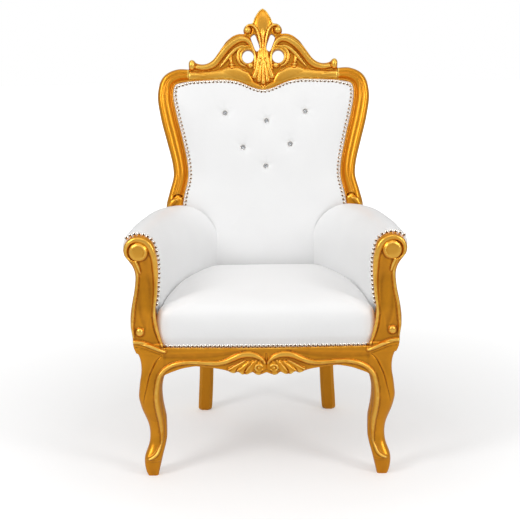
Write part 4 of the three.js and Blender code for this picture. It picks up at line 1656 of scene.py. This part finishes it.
@dataclass
class SeatPad:
    """The crowned seat, tight over its rail in front and tucked between the arms."""

    # How large the outline is, as a share, and its height there.
    levels: tuple = ((0.994, 389), (1.004, 398), (1.012, 430), (1.008, 472), (0.985, 494), (0.93, 508),
                     (0.85, 514), (0.75, 518), (0.55, 522), (0.35, 524), (0.15, 524.6), (0.02, 524.7))
    rise: float = 24.0  # how much higher the back of the seat is
    middle: float = 290.0  # y of the point that the levels close in on
    depth: float = 520.0
    thick: float = 136.0  # from the rail up to the top level
    bow: float = 13.0

    def outline(self) -> Array:
        """Draw the pad's outline.

        Returns:
            Pairs of x and y, anticlockwise seen from above.
        """
        x = np.linspace(-276, 276, 120)
        front = np.stack([x, 17 - self.bow * (1 - (x / 318) ** 2)], axis=1)
        y = np.linspace(56, 524, 90)
        corner = [(288, 19), (301, 22), (309, 29), (310, 44)]
        side = np.vstack([corner, np.stack([SEAT_HALF(y) + 2, y], axis=1)])
        ring = np.vstack([front, side, [(60, 534), (-60, 534)], side[::-1] * (-1, 1)])
        return rounded_loop(ring, 520, 6)

    def held(self, points: Array) -> Array:
        """Say how firmly the seat is held: low down at its nails, between the arms and under the back.

        Args:
            points: places of the setting-out.

        Returns:
            A share for each place, from 0 where it is free to 1 where it can't move.
        """
        nails = 1 - smoothstep(points[:, 2], 400, 425)
        sides = smoothstep(np.abs(points[:, 0]) - SEAT_HALF(points[:, 1]), -14, -4)
        return np.maximum.reduce([nails, sides, smoothstep(points[:, 1], 500, 520)])

    def build(self, shop: Shop) -> None:
        """Make the seat.

        Args:
            shop: puts the piece in the scene.
        """
        ring = self.outline() - (0, self.middle)
        run = np.arange(len(self.levels))
        at = np.linspace(0, run[-1], 72)
        scale, height = (through(list(zip(run, column)))(at) for column in zip(*self.levels))
        rings = []
        for s, z in zip(scale, height):
            place = ring * s + (0, self.middle)
            gather = np.exp(-(((z - 396) / 13) ** 2)) * np.clip(1 - (place[:, 1] - 10) / 30, 0, 1)
            place[:, 1] += 0.35 * gather * np.cos(2 * math.pi * place[:, 0] / Nails.pitch)
            place[:, 1] += 4.5 * (1 - smoothstep(z, 390, 420)) * np.clip(1 - (place[:, 1] - 10) / 30, 0, 1)
            lift = (z - RAIL_TOP) / self.thick * self.rise * place[:, 1] / self.depth
            rings.append(np.column_stack([place, z + lift]))
        made = skin(np.array(rings))
        Filling().swell(shop, made, self.held)
        piece = shop.place("seat", made, Slot.LEATHER, ["seat_pad"])


@dataclass
class ArmPads:
    """The rolled arms, wrapped round from the inner side over the top and in to the rail outside."""

    inner: Callable = through([(40, 302), (120, 300), (220, 290), (330, 272), (420, 243), (470, 219),
                               (500, 204), (520, 192), (535, 181), (548, 170), (562, 155)])
    front: float = 24.0
    rear: float = 562.0
    top: float = 720.0
    lip: float = 7.0  # how far back the rounding of the front edge reaches
    lip_depth: float = 5.0
    volute: tuple = (354.0, 668.0)
    # Each pleat's direction from the volute in degrees, how far back it runs, and its depth.
    pleat_list: tuple = ((18, 46, 1.5), (38, 34, 1.2), (60, 38, 1.1), (84, 28, 0.9), (-8, 26, 0.8))

    def section(self, setback: float) -> Array:
        """Draw the right arm's section.

        Args:
            setback: how far behind the rail's front plane it is cut.

        Returns:
            Pairs of x and z.
        """
        behind = float(smoothstep(setback, 200, 520))
        inner = float(self.inner(setback))
        tuck = inner + 22 * (1 - float(smoothstep(setback, 30, 120)))
        reach, drop = 52 + 70 * behind, 76 + 52 * behind
        crown = inner + reach
        bulge = math.exp(-(((setback - 60) / 70) ** 2))
        outer = 400 - 58 * float(smoothstep(setback, 180, 560)) + 3 * bulge
        foot = 349 - 108 * setback / 572
        top = self.top + 2 * behind + 9 * math.sin(math.pi * setback / 580) + 2 * bulge
        a = np.linspace(0, math.pi / 2, 24)
        inside = np.stack([crown - reach * np.cos(a), top - drop + drop * np.sin(a)], axis=1)
        round_x, round_z = np.sin(a) ** 0.88, np.cos(a) ** 0.88
        outside = np.stack([crown + (outer - crown) * round_x, top - 46 + 46 * round_z], axis=1)
        lap = outer - foot
        near = 1 - float(smoothstep(setback, 20, 110))
        lower = [(outer - 5 - 10 * near, 654), (outer - 18 - 14 * near, 634),
                 (foot + 0.3 * lap - 6 * near, 598), (foot + 0.12 * lap, 500), (foot, 389)]
        low = [(tuck, 389), (tuck, 480), (inner, 520)]
        return rounded_loop(np.vstack([low, inside, outside[1:], lower]), 200, 8)

    def pleats(self, ring: Array, setback: float) -> Array:
        """Measure the little pleats behind the front nails.

        Args:
            ring: a section, as pairs of x and z.
            setback: how far behind the rail's front plane it is cut.

        Returns:
            How deep a pleat is at each of its points.
        """
        centre_x, centre_z = self.volute
        angle = np.degrees(np.arctan2(ring[:, 1] - centre_z, centre_x - ring[:, 0]))
        depth = np.zeros(len(ring))
        for middle, reach, deepest in self.pleat_list:
            fade = float(np.clip(1 - (setback - self.front) / reach, 0, 1))
            lean = middle + 0.12 * (setback - self.front)
            depth += deepest * fade * np.exp(-(((angle - lean) / 2.6) ** 2))
        return depth

    def held(self, points: Array) -> Array:
        """Say how firmly an arm is held: at its nails in front, against the back and low down.

        Args:
            points: places of the setting-out.

        Returns:
            A share for each place, from 0 where it is free to 1 where it can't move.
        """
        front = 1 - smoothstep(points[:, 1], self.front + 8, self.front + 30)
        foot = 1 - smoothstep(points[:, 2], 560, 610)
        return np.maximum.reduce([front, foot, smoothstep(points[:, 1], 500, 540)])

    def build(self, shop: Shop) -> None:
        """Make both arms.

        Args:
            shop: puts the pieces in the scene.
        """
        lip = self.front + self.lip * (1 - np.cos(np.linspace(0, math.pi / 2, 8)))
        rings = []
        for y in np.concatenate([lip, np.linspace(self.front + 12, self.rear, 110)]):
            ring = self.section(y)
            along = np.roll(ring, -1, 0) - np.roll(ring, 1, 0)
            along /= np.linalg.norm(along, axis=1)[:, None]
            out = np.stack([-along[:, 1], along[:, 0]], axis=1)
            ahead = max(0.0, 1 - (y - self.front) / self.lip)
            inset = self.lip_depth * (1 - math.sqrt(max(0.0, 1 - ahead**2)))
            ring = ring - out * (inset + self.pleats(ring, y))[:, None]
            rings.append(np.column_stack([ring[:, 0], np.full(len(ring), y), ring[:, 1]]))
        made = skin(np.array(rings))
        Filling(cap=3.0).swell(shop, made, self.held)
        for side, surface in made.both_sides():
            piece = shop.place(f"arm_{side}", surface, Slot.LEATHER, [f"arm_pad_{side}"])


BUTTONS = ((-127, 604), (137, 607), (9, 577), (-69, 490), (86, 499), (5, 428))


@dataclass
class BackPads:
    """The padded inside of the back, pulled in at its buttons, and the flat leather outside."""

    stile: Stile = field(default_factory=Stile)
    middle: float = 390.0
    swell: float = 40.0
    edge: float = 4.0
    inside_start: float = 0.16  # how far along the stiles the inside begins
    outside_start: float = 0.046
    inside_flat: float = 22.0  # how far behind the stiles' faces the inside's flat back is
    outside_flat: float = 23.0
    dips: tuple = ((7, 11), (5, 34))  # depth and reach of what a button pulls in, close by and further off

    def outline(self, start: float) -> Array:
        """Draw the outline between the stiles and the crest, anticlockwise, in the back's plane.

        Args:
            start: how far along the stiles it begins.

        Returns:
            Pairs of x and height up the back's plane.
        """
        share = np.linspace(start, 0.94, 150)
        right = self.stile.beside(share, -self.stile.widths(share) / 2 + 1)
        x = np.linspace(240, -240, 160)
        top = np.stack([x, Crest().lower(np.abs(x)) + 1], axis=1)
        foot = np.stack([np.linspace(-right[0, 0], right[0, 0], 40)[1:-1], np.full(38, right[0, 1])], axis=1)
        return rounded_loop(np.vstack([right, top, right[::-1] * (-1, 1), foot]), 560, 3)

    def surface(self, start: float, behind: Callable, flat: float) -> Surface:
        """Make a padded face with a flat back.

        Args:
            start: how far along the stiles it begins.
            behind: gives how far behind the stiles' faces the leather is, by x, height and share of the
                way in from the edge.
            flat: how far behind them the flat back is.

        Returns:
            The surface, facing forwards.
        """
        ring = self.outline(start)
        share = 1 - np.cos(np.linspace(0, math.pi / 2, 74)[:-1]) * 0.995
        share = np.concatenate([[0.0], np.maximum(share, 0.0)])
        rings = []
        for s in share:
            x = ring[:, 0] * (1 - s)
            up = self.middle + (ring[:, 1] - self.middle) * (1 - s)
            rings.append(on_back(x, up, behind(x, up, s)))
        base = on_back(ring[:, 0], ring[:, 1], flat)
        return skin(np.array([base] + rings))

    def inside(self, x: Array, up: Array, share: float) -> Array:
        """Shape the inside: a swell, pulled in at its buttons.

        Args:
            x: distance across.
            up: height up the back's plane.
            share: share of the way in from the edge.

        Returns:
            How far behind the stiles' faces the leather is.
        """
        depth = self.edge - self.swell * math.sin(math.pi / 2 * share) ** 0.7
        dip = np.zeros_like(x)
        for button_x, button_up in BUTTONS:
            away = np.hypot(x - button_x, up - button_up)
            angle = np.arctan2(up - button_up, x - button_x)
            folds = 1 + 0.18 * np.cos(5 * angle + button_x) * np.exp(-(((away - 22) / 14) ** 2))
            dip += sum(deep * np.exp(-((away / reach) ** 2)) for deep, reach in self.dips) * folds
        return depth + dip

    def outside(self, x: Array, up: Array, share: float) -> Array:
        """Return how far behind the stiles' faces the outside's leather is."""
        return np.full_like(x, BACK_WOOD - 12 + 12 * math.sin(math.pi / 2 * share) ** 0.7)

    def held(self, points: Array) -> Array:
        """Say how firmly the inside is held: at its nails round the edge and at its buttons.

        Args:
            points: places of the setting-out.

        Returns:
            A share for each place, from 0 where it is free to 1 where it can't move.
        """
        y, z = points[:, 1] - BACK_SETBACK, points[:, 2] - BACK_LEVEL
        up = y * math.sin(RECLINE) + z * math.cos(RECLINE)
        firm = smoothstep(y * math.cos(RECLINE) - z * math.sin(RECLINE), 0, 6)
        for button_x, button_up in BUTTONS:
            away = np.hypot(points[:, 0] - button_x, up - button_up)
            firm = np.maximum(firm, 1 - smoothstep(away, 6, 16))
        edge = outline_distance(points[:, 0], up, [self.outline(self.inside_start)])
        return np.maximum(firm, smoothstep(edge, -24, -10))

    def build(self, shop: Shop) -> None:
        """Make both faces of the back.

        Args:
            shop: puts the pieces in the scene.
        """
        front = self.surface(self.inside_start, self.inside, self.inside_flat)
        front.quads, front.tris = front.quads[:, ::-1], front.tris[:, ::-1]
        rear = self.surface(self.outside_start, self.outside, self.outside_flat)
        Filling(cap=4.0).swell(shop, front, self.held)
        faces = (("back_inside", front, "inside_back"), ("back_outside", rear, "outside_back"))
        for name, surface, node in faces:
            piece = shop.place(name, surface, Slot.LEATHER, [node])


# ------------------------------------------------------------------ nails and buttons


@dataclass
class Nails:
    """Domed upholstery nails, set close together along the leather's edges."""

    radius: float = 5.9
    height: float = 3.0
    # The top of a head is painted dark out to here: painted shade, a dark reflection painted on.
    painted_shading: float = 3.3  # the top of a head is dark out to here
    pitch: float = 12.6
    clear: float = 5.6  # from the nails' middles to the wood
    rounded: float = 1.5  # what is added beside the stiles, whose edges are rounded
    proud: float = 0.9  # how far a head's rim stands off the leather
    look_from: float = 70.0  # how far out the search for the leather starts
    look_along: float = 120.0  # and how far it goes

    def head(self) -> Surface:
        """Make one nail's head.

        Returns:
            The head, facing up.
        """
        edge = [math.acos(share * self.painted_shading / self.radius) for share in (1.04, 0.9)]
        rise = [0.0, 0.35, 0.62, *edge, 1.3]
        dome = [(self.radius * math.cos(a), self.height * math.sin(a)) for a in rise]
        made = turned([(self.radius, -1.5), *dome], 14)
        made.points[-1, 2] = self.height
        # The top, where the relief is 0, takes the painted shade.
        made.relief = (np.hypot(made.points[:, 0], made.points[:, 1]) > 0.97 * self.painted_shading).astype(float)
        return made

    def run(self, shop: Shop, name: str, line: Array, out: Array, pad: str) -> None:
        """Drive a run of nails into the leather.

        Args:
            shop: puts the piece in the scene.
            name: the run's name.
            line: the line that it follows.
            out: the direction that it is seen from.
            pad: the piece that it is driven into. A nail that misses it is left out.
        """
        steps = np.linalg.norm(np.diff(line, axis=0), axis=1).sum()
        spots = evenly(line, int(steps / self.pitch) + 1)
        out = out / np.linalg.norm(out)
        tree = shop.tree(pad)
        head = self.head()
        heads = []
        for spot in spots:
            start = Vector(to_frame(spot + out * self.look_from))
            place, normal, _, _ = tree.ray_cast(start, Vector(-out), self.look_along * MM)
            if place is None:
                continue
            axis = (Vector(out) * 2 + normal).normalized()
            at = from_frame(place) + self.proud * np.array(axis)
            heads.append(Surface(head.points @ facing(axis).T + at, head.quads, head.tris, head.relief))
        shop.place(name, joined(heads), Slot.NAILS)

    def build(self, shop: Shop) -> None:
        """Drive every run.

        Args:
            shop: puts the pieces in the scene.
        """
        pads = BackPads()
        share = np.linspace(0.3, 0.93, 200)
        right = pads.stile.beside(share, -pads.stile.widths(share) / 2 - self.clear - self.rounded)
        x = np.linspace(238, -238, 240)
        top = np.stack([x, Crest().lower(np.abs(x)) - self.clear], axis=1)
        loop = np.vstack([right, top, right[::-1] * (-1, 1)])
        self.run(shop, "nails_back", on_back(loop[:, 0], loop[:, 1], 0), BACK_FACING, "back_inside")
        x = np.linspace(-286, 286, 100)
        line = np.column_stack([x, np.zeros(100), np.full(100, RAIL_TOP + self.clear + 1)])
        self.run(shop, "nails_seat", line, np.array([0, -1, 0.15]), "seat")
        post = FrontFrame()
        shoulder = post.scroll_height
        heights = np.linspace(514, shoulder, 40)
        inner = np.stack([post.post_inner(heights) - self.clear, heights], axis=1)
        middle = (post.post_inner(shoulder) + post.post_outer(shoulder)) / 2
        gap = self.clear - 1
        half = middle - post.post_inner(shoulder) + gap
        turn = np.linspace(math.pi, 0.6, 40)
        crown = [middle + half * np.cos(turn), shoulder + (post.scroll_radius + gap) * np.sin(turn)]
        rim = np.vstack([inner, np.stack(crown, axis=1)])
        for side, sign in (("right", 1), ("left", -1)):
            line = np.column_stack([sign * rim[:, 0], np.zeros(len(rim)), rim[:, 1]])
            self.run(shop, f"nails_arm_{side}", line, np.array([-0.15 * sign, -1, 0.0]), f"arm_{side}")


@dataclass
class Buttons:
    """Cut crystals in nickel settings that pull in the back."""

    radius: float = 7.2
    proud: float = 4.0  # from the leather to a stone's widest part

    def gem(self) -> Surface:
        """Make one cut stone.

        Returns:
            The stone, its table facing up.
        """
        r = self.radius
        cuts = ((1.2, -4.0), (r, 0, 0.5), (r, 0.8, 0.5), (r * 0.78, 2.6), (r * 0.5, 3.6, 0.5))
        return turned(cuts, 10)

    def setting(self) -> Surface:
        """Make the metal cup that holds a stone.

        Returns:
            The cup, facing up.
        """
        r = self.radius
        made = turned(((r + 1.0, -5), (r + 1.6, -1), (r + 1.5, 0.8), (r + 0.8, 1.5), (r + 0.1, 1.0),
                       (r - 0.3, -0.2), (r - 3, -3.0), (1.5, -4.6)), 28)
        made.relief = np.ones(len(made.points))
        return made

    def build(self, shop: Shop) -> None:
        """Set every button.

        Args:
            shop: puts the pieces in the scene.
        """
        tree = shop.tree("back_inside")
        turn = facing(BACK_FACING)
        for number, (x, up) in enumerate(BUTTONS, 1):
            start = Vector(to_frame(on_back(x, up, -120)))
            place = tree.ray_cast(start, Vector(-BACK_FACING))[0]
            at = from_frame(place) + BACK_FACING * self.proud
            cup, gem = self.setting(), self.gem()
            for surface in (cup, gem):
                surface.points = surface.points @ turn.T + at
            shop.place(f"button_cup_{number}", cup, Slot.NAILS)
            shop.place(f"button_stone_{number}", gem, Slot.CRYSTAL, [f"button_{number}"], crease=8)


# ------------------------------------------------------------------ the studio


@dataclass
class Studio:
    """A pale floor under a bright ceiling, three soft boxes and the camera."""

    eye: tuple = (0.0, -3.3599, 1.2136)
    pitch: float = 10.76  # degrees down
    pan: float = -0.283  # degrees to the right
    roll: float = -0.7  # degrees
    lens: float = 75.58
    floor_half: float = 40.0

    def camera(self) -> None:
        """Set the camera at the viewing angle."""
        pan, pitch, roll = (math.radians(a) for a in (self.pan, self.pitch, self.roll))
        ahead = Vector((math.sin(pan) * math.cos(pitch), math.cos(pan) * math.cos(pitch), -math.sin(pitch)))
        level = Vector((math.cos(pan), -math.sin(pan), 0))
        upright = level.cross(ahead)
        right = math.cos(roll) * level + math.sin(roll) * upright
        up = math.cos(roll) * upright - math.sin(roll) * level
        data = bpy.data.cameras.new("camera")
        data.lens = self.lens
        data.sensor_width = 36.0
        data.clip_end = 200.0
        camera = bpy.data.objects.new("camera", data)
        bpy.context.scene.collection.objects.link(camera)
        turn = Matrix((right, up, -ahead)).transposed()
        camera.matrix_world = Matrix.Translation(self.eye) @ turn.to_4x4()
        bpy.context.scene.camera = camera

    def softbox(self, name: str, place: Sequence[float], size: Sequence[float], power: float) -> None:
        """Hang a soft box that faces the throne.

        Args:
            name: the light's name.
            place: where it hangs, in metres.
            size: its width and height.
            power: its power in watts.
        """
        data = bpy.data.lights.new(name, "AREA")
        data.shape = "RECTANGLE"
        data.size, data.size_y = size
        data.energy = power
        lamp = bpy.data.objects.new(name, data)
        lamp.location = place
        lamp.rotation_mode = "QUATERNION"
        lamp.rotation_quaternion = (Vector((0, 0, 0.6)) - lamp.location).to_track_quat("-Z", "Y")
        bpy.context.scene.collection.objects.link(lamp)

    def sky(self) -> None:
        """Light the room from a ceiling that is brighter than its walls, against a white backdrop."""
        world = bpy.data.worlds.new("room")
        world.use_nodes = True
        tree = world.node_tree
        tree.nodes.clear()
        place = tree.nodes.new("ShaderNodeTexCoord")
        split = tree.nodes.new("ShaderNodeSeparateXYZ")
        walls = tree.nodes.new("ShaderNodeValToRGB")
        bar = walls.color_ramp
        for position, level in ((0.0, 0.4), (0.3, 0.45), (0.6, 0.5), (0.85, 0.52), (1.0, 0.52)):
            element = bar.elements.new(position)
            element.color = (level, level, level, 1.0)
        bar.elements.remove(bar.elements[0])
        bar.elements.remove(bar.elements[-1])
        room = tree.nodes.new("ShaderNodeBackground")
        room.inputs["Strength"].default_value = 1.05
        white = tree.nodes.new("ShaderNodeBackground")
        path = tree.nodes.new("ShaderNodeLightPath")
        mix = tree.nodes.new("ShaderNodeMixShader")
        out = tree.nodes.new("ShaderNodeOutputWorld")
        join = tree.links.new
        join(place.outputs["Generated"], split.inputs[0])
        join(split.outputs["Z"], walls.inputs["Fac"])
        join(walls.outputs["Color"], room.inputs["Color"])
        join(path.outputs["Is Camera Ray"], mix.inputs[0])
        join(room.outputs[0], mix.inputs[1])
        join(white.outputs[0], mix.inputs[2])
        join(mix.outputs[0], out.inputs["Surface"])
        white.inputs["Color"].default_value = (1, 1, 1, 1)
        bpy.context.scene.world = world

    def build(self) -> None:
        """Lay the floor, light the room and set the camera."""
        mesh = bpy.data.meshes.new("floor")
        half = self.floor_half
        corners = [(-half, -half, 0), (half, -half, 0), (half, half, 0), (-half, half, 0)]
        mesh.from_pydata(corners, [], [(0, 1, 2, 3)])
        mesh.materials.append(StudioFloor().material())
        floor = bpy.data.objects.new("floor", mesh)
        bpy.context.scene.collection.objects.link(floor)
        self.sky()
        self.softbox("key", (-1.9, -1.9, 2.3), (0.8, 1.6), 33)
        self.softbox("fill", (2.1, -2.0, 2.0), (0.8, 1.6), 26)
        self.softbox("top", (0.2, -1.3, 2.6), (1.2, 0.6), 4)
        bpy.context.scene.view_settings.view_transform = "Standard"
        self.camera()


def build_scene() -> None:
    """Build every piece in order."""
    shop = Shop()
    wood = (FrontFrame(), Crest(), RearPosts(), PlainRails())
    leather = (SeatPad(), ArmPads(), BackPads())
    for part in (*wood, *leather, Nails(), Buttons()):
        part.build(shop)
    Studio().build()


if __name__ == "__main__":
    logging.basicConfig(level=logging.INFO, format="%(message)s")
    build_scene()
